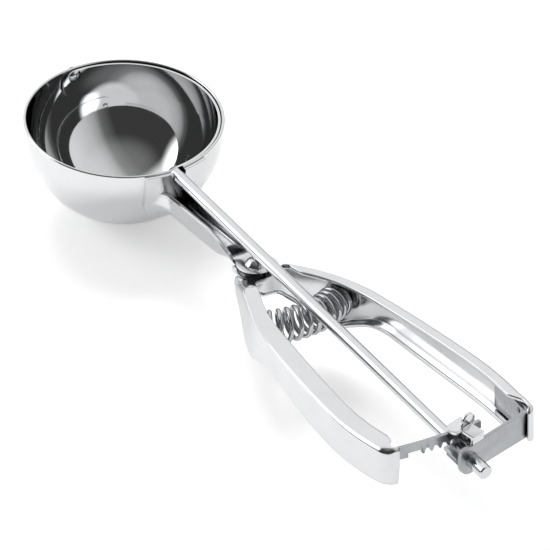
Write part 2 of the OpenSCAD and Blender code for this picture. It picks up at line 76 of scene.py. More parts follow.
# the round tab over the pivot, and the round lugs under it
TAB_R = 5.8
TAB_LOW = -SHEET
LUG_R = 3.1
# distance from the pivot to the rack's outer face
RACK_R = 106.7


def to_world(points):
    """Points of the handles' plane, (n, 3) in mm, as points of the frame in mm."""
    p = np.asarray(points, float)
    c, s = math.cos(TILT), math.sin(TILT)
    out = np.empty_like(p)
    out[..., 0] = PIVOT[0] + p[..., 0] * c - p[..., 2] * s
    out[..., 1] = PIVOT[1] + p[..., 1]
    out[..., 2] = PIVOT[2] + p[..., 0] * s + p[..., 2] * c
    return out


def smooth_step(x, a, b):
    """0 before a, 1 after b, and a soft rise between them."""
    t = min(max((x - a) / (b - a), 0.0), 1.0)
    return t * t * (3 - 2 * t)


def mix(a, b, t):
    """a at t = 0, b at t = 1, and in proportion between them."""
    return a + (b - a) * t


print("pivot at", PIVOT, "mm")

# %% [markdown]
# ## Camera
# The photograph looks down the scoop from its handle end, at 37 degrees, through a long lens.
# A long lens far away keeps the handles almost parallel.

# %% Camera
AZIMUTH = math.radians(56.3)
ELEVATION = math.radians(37.3)
ROLL = math.radians(1.75)
AIM = Vector((88.0, -3.13, 0.0)) * MM
DISTANCE = 2.0
LENS = 454.3

back = Vector((math.sin(AZIMUTH) * math.cos(ELEVATION),
               -math.cos(AZIMUTH) * math.cos(ELEVATION),
               math.sin(ELEVATION)))
level = Vector((math.cos(AZIMUTH), math.sin(AZIMUTH), 0))
upright = back.cross(level)
side = math.cos(ROLL) * level + math.sin(ROLL) * upright
top = math.cos(ROLL) * upright - math.sin(ROLL) * level

camera_data = bpy.data.cameras.new("camera")
camera_data.lens = LENS
camera_data.sensor_width = 36
camera_data.clip_start = 0.05
camera_data.clip_end = 20
camera = bpy.data.objects.new("camera", camera_data)
camera.matrix_world = Matrix.Translation(AIM + DISTANCE * back) @ Matrix(
    (side, top, back)).transposed().to_4x4()
bpy.context.scene.collection.objects.link(camera)
bpy.context.scene.camera = camera
bpy.context.scene.view_settings.view_transform = "Standard"
print("camera stands at", tuple(round(v, 3) for v in camera.location))

# %% [markdown]
# ## Materials
# Stainless steel that is polished to a mirror shows its surroundings more than itself. What
# tells it from plain chrome is small: a faint waviness of the pressed sheet, hairlines that
# the polishing wheel left, and smudges that soften the gloss. One function builds a steel from
# these three, and each finish sets how strong they are.

# %% One function that adds a node, and one that works out a formula


def linear(hex_colour):
    """An sRGB hex colour as linear RGBA."""
    parts = [int(hex_colour[i:i + 2], 16) / 255 for i in (0, 2, 4)]
    return tuple(c / 12.92 if c <= 0.04045 else ((c + 0.055) / 1.055) ** 2.4 for c in parts) + (1.0,)


def add_node(tree, kind, inputs=None, **settings):
    """Adds a node to a tree, sets its properties, and sets or links its inputs."""
    made = tree.nodes.new(kind)
    for name, value in settings.items():
        setattr(made, name, value)
    for key, value in (inputs or {}).items():
        if isinstance(value, bpy.types.NodeSocket):
            tree.links.new(value, made.inputs[key])
        else:
            made.inputs[key].default_value = value
    return made


def calculate(tree, known, steps):
    """Works out steps (name, operation, values) in a tree. A value is a number or a known name."""
    for name, operation, *values in steps:
        inputs = {i: known.get(value, value) for i, value in enumerate(values)}
        known[name] = add_node(tree, "ShaderNodeMath", inputs, operation=operation).outputs[0]


print("polished steel's grey:", tuple(round(c, 3) for c in linear("DEDFE0")[:3]))

# %% One function that builds a steel

# sizes of the marks on the surface, in mm
SMUDGE_SIZE = 9.0
HAIRLINE_GAP = 0.25
SWELL_LENGTH = 14.0
# painted shade: the steel is darkened where a neighbour this close covers most of the view
SHADE_REACH = 7.0


def painted_corner_shade(tree, colour, corners):
    """A colour with painted shade: darker by the share corners where the surface is shut in."""
    open_side = add_node(tree, "ShaderNodeAmbientOcclusion", {"Distance": SHADE_REACH * MM}, samples=8)
    unshaded = add_node(tree, "ShaderNodeMapRange",
                     {"Value": open_side.outputs["AO"], "From Min": 0.15, "From Max": 0.6,
                      "To Min": 1 - corners, "To Max": 1.0})
    return add_node(tree, "ShaderNodeMix", {"Factor": 1.0, "A": colour, "B": unshaded.outputs["Result"]},
                    data_type="RGBA", blend_type="MULTIPLY").outputs["Result"]


def steel(name, light, dark, gloss, smudge, hairline, wave, grain=(1, 1, 1), corners=0.0):
    """A bare steel. gloss is its roughness and smudge what marks add to it. hairline and wave are
    depths in mm, and grain stretches the hairlines along the axis with the smallest number.
    corners is how much painted shade darkens the steel where its neighbours shut it in."""
    material = bpy.data.materials.new(name)
    material.use_nodes = True
    tree = material.node_tree
    shader = tree.nodes["Principled BSDF"]
    shader.inputs["Metallic"].default_value = 1.0
    place = add_node(tree, "ShaderNodeTexCoord").outputs["Object"]
    # smudges and wipe marks
    marks = add_node(tree, "ShaderNodeTexNoise",
                     {"Vector": place, "Scale": 1 / (SMUDGE_SIZE * MM), "Detail": 6.0, "Roughness": 0.6})
    rough = add_node(tree, "ShaderNodeMapRange",
                     {"Value": marks.outputs["Fac"], "From Min": 0.42, "From Max": 0.75,
                      "To Min": gloss, "To Max": gloss + smudge})
    tree.links.new(rough.outputs["Result"], shader.inputs["Roughness"])
    tone = add_node(tree, "ShaderNodeMix",
                    {"Factor": marks.outputs["Fac"], "A": linear(light), "B": linear(dark)},
                    data_type="RGBA")
    colour = tone.outputs["Result"]
    # painted shade: the colour is darkened where the surface is shut in
    if corners:
        colour = painted_corner_shade(tree, colour, corners)
    tree.links.new(colour, shader.inputs["Base Color"])
    # hairlines: real ones are finer, and these are as coarse as the picture can show
    stretch = add_node(tree, "ShaderNodeMapping", {"Vector": place, "Scale": grain})
    lines = add_node(tree, "ShaderNodeTexNoise",
                     {"Vector": stretch.outputs["Vector"], "Scale": 1 / (HAIRLINE_GAP * MM), "Detail": 3.0})
    fine = add_node(tree, "ShaderNodeBump",
                    {"Height": lines.outputs["Fac"], "Distance": hairline * MM, "Strength": 1.0})
    # waves of the pressed sheet
    swell = add_node(tree, "ShaderNodeTexNoise",
                     {"Vector": place, "Scale": 1 / (SWELL_LENGTH * MM), "Detail": 1.0})
    relief = add_node(tree, "ShaderNodeBump",
                      {"Height": swell.outputs["Fac"], "Distance": wave * MM, "Strength": 1.0,
                       "Normal": fine.outputs["Normal"]})
    tree.links.new(relief.outputs["Normal"], shader.inputs["Normal"])
    return material


print("marks are", SMUDGE_SIZE, "mm and hairlines", HAIRLINE_GAP, "mm apart")

# %% [markdown]
# Six finishes are enough. The bowl and the blade are mirrors, the handles are a little softer,
# bars are ground, stampings stay duller and darker in painted shade, wire is drawn, and a weld
# keeps its heat tint. Only the handles get painted shade in their deep, shut-in corners.

# %% Steel finishes

# buffed to a mirror: bowl and blade
MIRROR_STEEL = steel("mirror_polished_stainless", "E4E5E6", "DADBDC",
                     gloss=0.035, smudge=0.05, hairline=0.0006, wave=0.05)
# the same steel, tumbled and buffed along the handles: a little softer
# painted shade darkens this steel in its shut-in corners
HANDLE_STEEL = steel("buffed_stainless_sheet", "E6E7E8", "D8D9DB",
                     gloss=0.14, smudge=0.08, hairline=0.0012, wave=0.06,
                     grain=(0.06, 1, 1), corners=0.8)
# turned and ground bar: hairlines run round the rod
BAR_STEEL = steel("ground_stainless_bar", "E2E3E5", "D4D6D8",
                  gloss=0.07, smudge=0.06, hairline=0.0015, wave=0.01, grain=(1, 0.1, 0.1))
# stamped parts as they leave the press: duller, with a cool cast, and a darker grey as painted shade
STAMPED_STEEL = steel("stamped_satin_stainless", "B9BBBD", "A2A5A8",
                      gloss=0.22, smudge=0.14, hairline=0.003, wave=0.05)
# hard drawn spring wire
WIRE_STEEL = steel("drawn_spring_wire", "CDCED0", "B5B7BA",
                   gloss=0.12, smudge=0.08, hairline=0.001, wave=0.0)
# the spot welds keep a brown and blue heat tint
WELD_STEEL = steel("spot_weld", "A9A39B", "7E8086",
                   gloss=0.32, smudge=0.15, hairline=0.006, wave=0.0)
print("made", len(bpy.data.materials), "materials")

# %% [markdown]
# ## Tools for sheet metal
# Every big piece is a sheet that was cut and pressed. A sheet is drawn here as one grid of
# points over its outer face. A second grid lies one thickness behind it, and the edge between
# the two is rounded, because an edge that is tumbled and polished is never sharp.

# %% Make a mesh piece


def solid_mesh(name, points, faces, thin=0.0):
    """A closed mesh with outward faces from points in mm. Slivers narrower than thin are dropped."""
    mesh = bpy.data.meshes.new(name)
    work = bmesh.new()
    corners = [work.verts.new(p) for p in np.asarray(points, float) * MM]
    for face in faces:
        ring = [corners[i] for i in face]
        if len(set(ring)) > 2:
            try:
                work.faces.new(ring)
            except ValueError:
                # bmesh refuses a face that is there already
                pass
    bmesh.ops.remove_doubles(work, verts=work.verts, dist=MERGE * MM)
    if thin:
        bmesh.ops.dissolve_degenerate(work, edges=work.edges, dist=thin * MM)
    bmesh.ops.recalc_face_normals(work, faces=work.faces)
    work.to_mesh(mesh)
    work.free()
    return mesh


def finish_piece(name, mesh, material, body, stands_for=(), angle=40):
    """Smooth shading up to an angle, the material, the body it rides on and the nodes it stands for."""
    made = bpy.data.objects.new(name, mesh)
    mesh.name = name
    bpy.context.scene.collection.objects.link(made)
    for face in mesh.polygons:
        face.use_smooth = True
    mesh.set_sharp_from_angle(angle=math.radians(angle))
    mesh.materials.clear()
    mesh.materials.append(material)
    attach(made, body)
    if stands_for:
        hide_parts(*stands_for)
    print(f"{name}: {len(mesh.polygons)} faces on {body}")
    return made


def piece(name, points, faces, material, body, stands_for=(), angle=40):
    """A finished piece from points in mm."""
    return finish_piece(name, solid_mesh(name, points, faces), material, body, stands_for, angle)


print("points closer than", MERGE, "mm are merged")

# %% Grids and rounded edges


def grid_normals(grid):
    """Unit normals of a grid of points, from its neighbours' differences."""
    along = np.gradient(grid, axis=0)
    across = np.gradient(grid, axis=1)
    normal = np.cross(along, across)
    size = np.linalg.norm(normal, axis=2, keepdims=True)
    return normal / np.maximum(size, 1e-9)


def quads(rows, columns, start=0, closed=False):
    """Faces of a grid that is stored row by row."""
    last = columns if closed else columns - 1
    for i in range(rows - 1):
        for j in range(last):
            a = start + i * columns + j
            b = start + i * columns + (j + 1) % columns
            yield (a, b, b + columns, a + columns)


def pressing(outer, inner, bulge=0.22):
    """Points and faces of a sheet between two grids, with a rounded edge all round."""
    rows, columns = outer.shape[:2]
    points = [outer.reshape(-1, 3), inner.reshape(-1, 3)]
    count = rows * columns
    faces = list(quads(rows, columns)) + list(quads(rows, columns, count))
    border = [(0, j) for j in range(columns)]
    border += [(i, columns - 1) for i in range(1, rows)]
    border += [(rows - 1, j) for j in range(columns - 2, -1, -1)]
    border += [(i, 0) for i in range(rows - 2, 0, -1)]
    n = len(border)
    # the rounded edge has three rows of points: the middle one stands out furthest
    steps = ((0.12, 0.75), (0.5, 1.0), (0.88, 0.75))
    base = 2 * count
    for share, out in steps:
        ring = []
        for i, j in border:
            inside_i = min(max(i, 1), rows - 2)
            inside_j = min(max(j, 1), columns - 2)
            a = mix(outer[i, j], inner[i, j], share)
            away = outer[i, j] - outer[inside_i, inside_j]
            length = np.linalg.norm(away)
            thick = np.linalg.norm(outer[i, j] - inner[i, j])
            ring.append(a + away / max(length, 1e-9) * bulge * thick * out)
        points.append(np.array(ring))
    chain = [[i * columns + j for i, j in border]]
    chain += [[base + k * n + m for m in range(n)] for k in range(len(steps))]
    chain += [[count + i * columns + j for i, j in border]]
    for a, b in zip(chain, chain[1:]):
        for m in range(n):
            faces.append((a[m], a[(m + 1) % n], b[(m + 1) % n], b[m]))
    return np.vstack(points), faces


print("a flat patch of 3 by 3 points gives", len(list(quads(3, 3))), "faces")

# %% Turned shapes


def turned(profile, segments=96):
    """Points and faces of a shape turned about the X axis from (x, radius) pairs."""
    angles = np.linspace(0, 2 * math.pi, segments, endpoint=False)
    rows = [[(x, r * math.cos(a), r * math.sin(a)) for a in angles] for x, r in profile]
    return np.array(rows).reshape(-1, 3), list(quads(len(profile), segments, closed=True))


def prism_faces(n):
    """Faces of a prism whose points are a ring of n and the same ring further on."""
    sides = [(k, (k + 1) % n, n + (k + 1) % n, n + k) for k in range(n)]
    return [tuple(range(n)), tuple(range(n, 2 * n))] + sides


print("a prism on four corners has", len(prism_faces(4)), "faces")

# %% [markdown]
# ## Bowl
# The bowl is spun over a ball-shaped former and buffed inside and out. It is turned here from
# its wall's outline, with a rim that is rounded over. A slot lets the rod in and a hole on the
# far side takes the pin, and both are cut with a boolean, as the real ones are punched.

# %% Outline of the bowl's wall


def bowl_outline(steps=56):
    """(radius, height) pairs round the wall, from the outer bottom to the inner bottom."""
    inner_r = BOWL_R - BOWL_WALL
    lip = BOWL_WALL / 2
    outline = [(BOWL_R * math.sin(t), -BOWL_R * math.cos(t)) for t in np.linspace(0, math.pi / 2, steps)]
    rim = -AXIS_Z - lip
    for t in np.linspace(0, math.pi, 9):
        outline.append((BOWL_R - lip + lip * math.cos(t), rim + lip * math.sin(t)))
    outline += [(inner_r * math.cos(t), -inner_r * math.sin(t)) for t in np.linspace(0, math.pi / 2, steps)]
    return outline


print("the bowl's wall has", len(bowl_outline()), "points in its outline")

# %% Cutting tools

# radii of the slot for the rod and of the hole for the pin, and how far a cutter reaches past the wall
SLOT_R = 2.15
PIN_HOLE_R = 1.28
PIN_HOLE_POINTS = 48
CUT_REACH = 3.0


def face_outwards(mesh, merge=False):
    """Turns a mesh's faces outwards, after merging its doubles where asked."""
    work = bmesh.new()
    work.from_mesh(mesh)
    if merge:
        bmesh.ops.remove_doubles(work, verts=work.verts, dist=MERGE * MM)
    bmesh.ops.recalc_face_normals(work, faces=work.faces)
    work.to_mesh(mesh)
    work.free()


def cutter(points, faces):
    """A mesh that a boolean cuts with."""
    mesh = bpy.data.meshes.new("cutter")
    mesh.from_pydata([tuple(p) for p in np.asarray(points) * MM], [], [tuple(f) for f in faces])
    made = bpy.data.objects.new("cutter", mesh)
    bpy.context.scene.collection.objects.link(made)
    face_outwards(mesh)
    return made


def rod_slot(height=8.0):
    """A slot for the rod through bowl and saddle, with a round bottom and open at the top."""
    ring = [(SLOT_R * math.cos(t), SLOT_R * math.sin(t)) for t in np.linspace(-math.pi, 0, 25)]
    ring = [(-SLOT_R, height)] + ring + [(SLOT_R, height)]
    points = [(x, y, z + AXIS_Z) for x in (BOWL_R - CUT_REACH, BOWL_R + CUT_REACH) for y, z in ring]
    return cutter(points, prism_faces(len(ring)))


def pin_hole():
    """A round hole through the bowl's far wall."""
    ends = [(-BOWL_R - CUT_REACH, PIN_HOLE_R), (-BOWL_R + CUT_REACH, PIN_HOLE_R)]
    points, _ = turned(ends, PIN_HOLE_POINTS)
    return cutter(points + np.array([0, 0, AXIS_Z]), prism_faces(PIN_HOLE_POINTS))


def cut_mesh(mesh, tools):
    """Takes the tools out of a mesh and returns the new mesh."""
    work = bpy.data.objects.new("work", mesh)
    bpy.context.scene.collection.objects.link(work)
    for tool in tools:
        step = work.modifiers.new("cut", "BOOLEAN")
        step.object = tool
        step.solver = "EXACT"
    bpy.context.view_layer.update()
    evaluated = work.evaluated_get(bpy.context.evaluated_depsgraph_get())
    result = bpy.data.meshes.new_from_object(evaluated)
    for spent in [work] + tools:
        bpy.data.objects.remove(spent)
    return result


print("the rod's slot is", 2 * SLOT_R, "mm wide")

# %% Bowl

# a face belongs to a round wall if it lies this close to it and is turned about as it is
WALL_NEAR = 0.12
WALL_ALIKE = 0.9


def round_normals(mesh, shells):
    """Gives the faces of round walls the normals of the true ball or drum, so that a mirror
    finish shows no facets. shells are (radius, sign) pairs about the bowl's centre."""
    mesh.calc_loop_triangles()
    normals = [tuple(n.vector) for n in mesh.corner_normals]
    centre = Vector((0, 0, AXIS_Z)) * MM
    for face in mesh.polygons:
        for radius, sign in shells:
            away = face.center - centre
            flat = away.copy()
            flat.z = min(flat.z, 0)
            off = abs(flat.length - radius * MM)
            if off < WALL_NEAR * MM and face.normal.dot(flat.normalized() * sign) > WALL_ALIKE:
                for loop in face.loop_indices:
                    spot = mesh.vertices[mesh.loops[loop].vertex_index].co - centre
                    spot.z = min(spot.z, 0)
                    normals[loop] = tuple(spot.normalized() * sign)
    mesh.normals_split_custom_set(normals)


def turned_about_z(outline, segments):
    """Points and faces of a shape turned about the bowl's upright axis."""
    points, faces = turned([(z, r) for r, z in outline], segments)
    return np.stack([points[:, 1], points[:, 2], points[:, 0] + AXIS_Z], axis=1), faces


THIN = 0.001
bowl_mesh = solid_mesh("bowl_shell", *turned_about_z(bowl_outline(), 192), THIN)
bowl_mesh = cut_mesh(bowl_mesh, [rod_slot(), pin_hole()])
finish_piece("bowl_shell", bowl_mesh, MIRROR_STEEL, "frame", ("bowl",), 35)
round_normals(bowl_mesh, [(BOWL_R, 1), (BOWL_R - BOWL_WALL, -1)])

# %% [markdown]
# ## Blade
# The blade is a half hoop that lies against the inside of the bowl and sweeps it clean. It is a
# band of a ball between two level cuts, with round ends where the rod and the far pin hold it.

# %% Blade
BLADE_R = 28.75
BLADE_T = 0.7
BLADE_HALF = 4.5
BLADE_MID = -2.8
BLADE_END_Y = 0.4


def blade_grid(radius, around=110, across=26):
    """A grid over the blade's face: rows run round the hoop, columns from its lower to its upper edge."""
    rows = []
    for u in np.linspace(0, 1, around):
        row = []
        for t in np.linspace(-math.pi / 2, math.pi / 2, across):
            rise = BLADE_HALF * math.sin(t)
            z = BLADE_MID + rise
            start_y = BLADE_END_Y - math.sqrt(max(BLADE_HALF ** 2 - rise ** 2, 0))
            ring = math.sqrt(radius ** 2 - z ** 2)
            start = math.asin(start_y / ring)
            turn = mix(start, math.pi - start, u)
            row.append((ring * math.cos(turn), ring * math.sin(turn), z + AXIS_Z))
        rows.append(row)
    return np.array(rows)


blade_points, blade_faces = pressing(blade_grid(BLADE_R), blade_grid(BLADE_R - BLADE_T), bulge=0.1)
piece("blade_band", blade_points, blade_faces, MIRROR_STEEL, "wiper", ("blade",), 50)

# %% [markdown]
# ## Saddle
# A plate hugs the back of the bowl and carries the neck. It follows the ball of the bowl, so it
# is a patch of a slightly larger ball, whose outline is straight at the top and round below.

# %% Saddle
SADDLE_HALF = 10.3
SADDLE_TOP = -0.5
SADDLE_DROP = 9.0
SADDLE_R = 31.22


def saddle_grid(radius, rows=60, columns=44):
    """A grid over the saddle, from side to side and from its top edge down to its round end."""
    grid = []
    for u in np.linspace(-1, 1, rows):
        y = SADDLE_HALF * math.sin(u * math.pi / 2)
        bottom = -SADDLE_DROP - math.sqrt(max(SADDLE_HALF ** 2 - y ** 2, 0))
        row = []
        for v in np.linspace(0, 1, columns):
            z = mix(SADDLE_TOP, bottom, v) - AXIS_Z
            reach = radius ** 2 - y ** 2 - min(z, 0) ** 2
            row.append((math.sqrt(reach), y, z + AXIS_Z))
        grid.append(row)
    return np.array(grid)


saddle_points, saddle_faces = pressing(saddle_grid(SADDLE_R), saddle_grid(BOWL_R + 0.02), bulge=0.1)
saddle_mesh = solid_mesh("saddle_plate", saddle_points, saddle_faces, THIN)
saddle_mesh = cut_mesh(saddle_mesh, [rod_slot()])
finish_piece("saddle_plate", saddle_mesh, HANDLE_STEEL, "frame", ("saddle",), 50)
round_normals(saddle_mesh, [(SADDLE_R, 1)])

# %% [markdown]
# ## Neck
# The neck is one pressing: a trough with round bottom corners that flares onto the saddle at
# one end and is squeezed flat into the pivot's round tab at the other. Each line of points runs
# along the neck. Near the bowl it bends away on an arc that touches both the trough and the
# ball of the saddle, so the metal seems to flow from one into the other.

# %% Section of the neck
NECK_HALF = 4.4
NECK_LOW = -4.1
NECK_TOP = 3.0
NECK_CORNER = 2.2
# the round tab is as wide as the trough here
TAB_FROM = -math.sqrt(TAB_R ** 2 - NECK_HALF ** 2)
# where the rim begins to fall and where it reaches the tab, and the same for the floor's rise
TROUGH_FROM = -20.0
TROUGH_END = -4.5
FLOOR_FROM = -17.0
FLOOR_END = -4.0
WALL_FROM = -14.0


def neck_section(x, columns):
    """Points (y, z) of the neck's outer face at x, from one rim down and up to the other."""
    half = NECK_HALF
    if x > 0:
        half = math.sqrt(max(TAB_R ** 2 - x ** 2, 0))
    elif x > TAB_FROM:
        half = max(NECK_HALF, math.sqrt(TAB_R ** 2 - x ** 2))
    floor = mix(NECK_LOW, TAB_LOW, smooth_step(x, FLOOR_FROM, FLOOR_END))
    rim = mix(NECK_TOP, 0, min(max((x - TROUGH_FROM) / (TROUGH_END - TROUGH_FROM), 0), 1))
    wall = max(rim - floor - SHEET * smooth_step(x, WALL_FROM, TROUGH_END), 0.0)
    corner = min(NECK_CORNER, max(wall, 1e-4), max(half - 0.05, 1e-4))
    line = []
    parts = columns // 4
    for t in np.linspace(0, 1, parts, endpoint=False):
        line.append((-half, mix(floor + wall, floor + corner, t)))
    for t in np.linspace(0, math.pi / 2, parts, endpoint=False):
        line.append((-half + corner - corner * math.cos(t), floor + corner - corner * math.sin(t)))
    for t in np.linspace(0, 1, parts):
        line.append((mix(-half + corner, 0, t), floor))
    left = np.array(line)
    right = left[::-1] * np.array([-1, 1])
    return np.vstack([left, right[1:]])


print("the tab begins at", round(TAB_FROM, 2), "mm from the pivot")

# %% Neck

# the flare's radius under the trough and, smaller, at its two rims
FLARE_R = 7.0
EDGE_FLARE_R = 3.0
FLARE_STEPS = 25


def neck_grid(columns=60):
    """Rows of points along the neck, from the saddle to the tab's end."""
    start = neck_section(TROUGH_FROM, columns)
    tangent = np.gradient(start, axis=0)
    normal = np.stack([tangent[:, 1], -tangent[:, 0]], axis=1)
    normal /= np.linalg.norm(normal, axis=1, keepdims=True)
    count = len(start)
    flare = np.zeros((FLARE_STEPS, count, 3))
    joins = np.zeros(count)
    # the ball's centre as a point of the handles' plane
    ball = np.array([-PIVOT[0] * math.cos(TILT) + (AXIS_Z - PIVOT[2]) * math.sin(TILT), 0.0,
                     PIVOT[0] * math.sin(TILT) + (AXIS_Z - PIVOT[2]) * math.cos(TILT)])
    for j in range(count):
        # an arc outside both the trough's line and the ball of the saddle
        bend = mix(EDGE_FLARE_R, FLARE_R, smooth_step(NECK_TOP - start[j][1], 0, 7))
        y, z = start[j] + bend * normal[j]
        centre = np.array([0.0, y, z])
        reach = SADDLE_R + bend
        # the arc's centre is found by moving it along the neck until it is the right distance from the ball
        for _ in range(12):
            spot = to_world(centre) - np.array([0, 0, AXIS_Z])
            centre[0] += math.sqrt(max(reach ** 2 - spot[1] ** 2 - spot[2] ** 2, 1.0)) - spot[0]
        joins[j] = centre[0]
        a = (ball - centre) / np.linalg.norm(ball - centre)
        b = np.array([0.0, -normal[j][0], -normal[j][1]])
        angle = math.acos(np.clip(a @ b, -1, 1))
        for k, t in enumerate(np.linspace(0, 1, FLARE_STEPS)):
            arm = (math.sin((1 - t) * angle) * a + math.sin(t * angle) * b) / math.sin(angle)
            flare[k, j] = centre + bend * arm
    rows = [flare]
    run = []
    stations = list(np.linspace(joins.max() + 0.3, TROUGH_FROM, 8))
    stations += list(np.linspace(TROUGH_FROM, 0, 60)[1:])
    stations += [TAB_R * math.sin(t) for t in np.linspace(0, math.pi / 2, 24)[1:]]
    for x in stations:
        line = neck_section(x, columns)
        run.append(np.column_stack([np.full(len(line), x), line[:, 0], line[:, 1]]))
    rows.append(np.array(run))
    return np.vstack(rows)


neck_outer = neck_grid()
neck_normals = grid_normals(neck_outer)
# the floor's outer face looks down
if neck_normals[40, len(neck_normals[0]) // 2][2] > 0:
    neck_normals = -neck_normals
# the tab's last row is a single point, so it takes its neighbours' normals
neck_normals[-1] = neck_normals[-2]
neck_inner = neck_outer - SHEET * neck_normals
neck_points, neck_faces = pressing(to_world(neck_outer), to_world(neck_inner), bulge=0.12)
piece("neck_pressing", neck_points, neck_faces, HANDLE_STEEL, "frame", ("neck",), 50)

# %% [markdown]
# ## Handles
# Both handles are channels: a web with a flange above and one below, pressed from one sheet.
# Each is drawn by a section that travels along the handle's outer face. The section says where
# the top and the bottom lie and how wide the flanges are at that place.

# %% Paths of the handles


def arc_end(p, h0, h1, r):
    """Point reached from p on an arc that turns right from heading h0 to h1, in degrees."""
    a, b = math.radians(h0), math.radians(h1)
    return (p[0] + r * (math.sin(a) - math.sin(b)), p[1] + r * (math.cos(b) - math.cos(a)))


def arc_over(dx, h0, h1):
    """Radius that carries an arc from heading h0 to h1 over the distance dx."""
    return dx / (math.sin(math.radians(h0)) - math.sin(math.radians(h1)))


def walk_arc(p, h0, h1, r, steps):
    """Stations (x, y, heading) on an arc."""
    out = []
    for h in np.linspace(h0, h1, steps):
        x, y = arc_end(p, h0, h, r)
        out.append((x, y, h))
    return out


print("a quarter turn to the right on a radius of 1 leads to", arc_end((0, 0), 0, -90, 1))

# %% [markdown]
# Both handles run alike: out from the pivot, almost straight along the grip, and in at the far
# end. Headings are in degrees from the X axis of the handles' plane.

# %% Path of the fixed handle
WAIST_TURN = 9.0
GRIP_TURN = 4.5
GRIP_X = 77.0

FIXED_FROM = (4.0, 4.8)
FIXED_ROOT_TURN = 43
FIXED_ROOT_R = 60
# the far end reaches this far past the rack, and its sheet curls in round the end plate
FIXED_PAST_RACK = 3.2
FIXED_CURL_R = 2.4
FIXED_CURL_TURN = 88
FIXED_END_X = RACK_R + FIXED_PAST_RACK - FIXED_CURL_R
FIXED_END_R = 130.0

fixed_1 = arc_end(FIXED_FROM, FIXED_ROOT_TURN, WAIST_TURN, FIXED_ROOT_R)
fixed_2r = arc_over(GRIP_X - fixed_1[0], WAIST_TURN, GRIP_TURN)
fixed_2 = arc_end(fixed_1, WAIST_TURN, GRIP_TURN, fixed_2r)
fixed_end_turn = math.degrees(math.asin(
    math.sin(math.radians(GRIP_TURN)) - (FIXED_END_X - GRIP_X) / FIXED_END_R))

fixed_stations = walk_arc(FIXED_FROM, FIXED_ROOT_TURN, WAIST_TURN, FIXED_ROOT_R, 70)
fixed_stations += walk_arc(fixed_1, WAIST_TURN, GRIP_TURN, fixed_2r, 50)[1:]
fixed_stations += walk_arc(fixed_2, GRIP_TURN, fixed_end_turn, FIXED_END_R, 50)[1:]
fixed_corner_at = len(fixed_stations)
fixed_stations += walk_arc(fixed_stations[-1][:2], fixed_end_turn, fixed_end_turn - FIXED_CURL_TURN,
                           FIXED_CURL_R, 12)[1:]
print("fixed handle ends at", tuple(round(v, 2) for v in fixed_stations[-1]))

# %% Path of the lever
LEVER_FROM = (1.5, 8.0)
LEVER_START = (-0.1, 7.35)
LEVER_TURN = 22.0
LEVER_ROOT = 22.0
LEVER_BEND_R = 87
LEVER_END_X = RACK_R - 5.7
END_TURN = -12.0
# the end wall stops here and the rack goes on
WALL_EDGE = 19.3

lever_1 = (LEVER_FROM[0] + LEVER_ROOT * math.cos(math.radians(LEVER_TURN)),
           LEVER_FROM[1] + LEVER_ROOT * math.sin(math.radians(LEVER_TURN)))
lever_2 = arc_end(lever_1, LEVER_TURN, WAIST_TURN, LEVER_BEND_R)
lever_3r = arc_over(GRIP_X - lever_2[0], WAIST_TURN, GRIP_TURN)
lever_3 = arc_end(lever_2, WAIST_TURN, GRIP_TURN, lever_3r)
lever_4r = arc_over(LEVER_END_X - GRIP_X, GRIP_TURN, END_TURN)
lever_4 = arc_end(lever_3, GRIP_TURN, END_TURN, lever_4r)

# the corner touches the handle's last arc and the end wall's circle about the pivot
end_normal = (math.sin(math.radians(END_TURN)), -math.cos(math.radians(END_TURN)))
lever_5r = (RACK_R ** 2 - lever_4[0] ** 2 - lever_4[1] ** 2) / (
    2 * (RACK_R + lever_4[0] * end_normal[0] + lever_4[1] * end_normal[1]))
lever_5c = (lever_4[0] + lever_5r * end_normal[0], lever_4[1] + lever_5r * end_normal[1])
wall_from = math.degrees(math.atan2(lever_5c[1], lever_5c[0]))
wall_to = math.degrees(math.asin(WALL_EDGE / RACK_R))

lever_stations = [(mix(LEVER_START[0], lever_1[0], t), mix(LEVER_START[1], lever_1[1], t), LEVER_TURN)
                  for t in np.linspace(0, 1, 46)]
lever_stations += walk_arc(lever_1, LEVER_TURN, WAIST_TURN, LEVER_BEND_R, 30)[1:]
lever_stations += walk_arc(lever_2, WAIST_TURN, GRIP_TURN, lever_3r, 34)[1:]
lever_stations += walk_arc(lever_3, GRIP_TURN, END_TURN, lever_4r, 30)[1:]
lever_stations += walk_arc(lever_4, END_TURN, wall_from - 90, lever_5r, 30)[1:]
corner_at = len(lever_stations)
for turn in np.linspace(wall_from, wall_to, 10)[1:]:
    a = math.radians(turn)
    lever_stations.append((RACK_R * math.cos(a), RACK_R * math.sin(a), turn - 90))
print("lever's corner radius", round(lever_5r, 2), "mm")

# %% [markdown]
# Seen from the side the lower edge rises and falls: a hump behind which the first finger rests,
# a narrow waist, and a long shallow belly that fills the palm.

# %% Side outline of the handles
HANDLE_TOP = 1.7
# centre and radius of the finger hump, and how far its arc goes before the edge runs straight
HUMP = (17.5, -5.2)
HUMP_R = 11.0
HUMP_NEAR_TURN = math.radians(38)
HUMP_FAR_TURN = math.radians(52)
WAIST_X = 38.0
BELLY_X = 92.0
BELLY_R = 420.0
BELLY_LOW = -10.9
# heights of the lower edge at the pivot
FIXED_LOW = -9.2
LEVER_LOW = -7.5


def belly_side(x):
    """Height of the lower edge along the belly, an arc of a large radius."""
    return BELLY_R + BELLY_LOW - math.sqrt(BELLY_R ** 2 - (x - BELLY_X) ** 2)


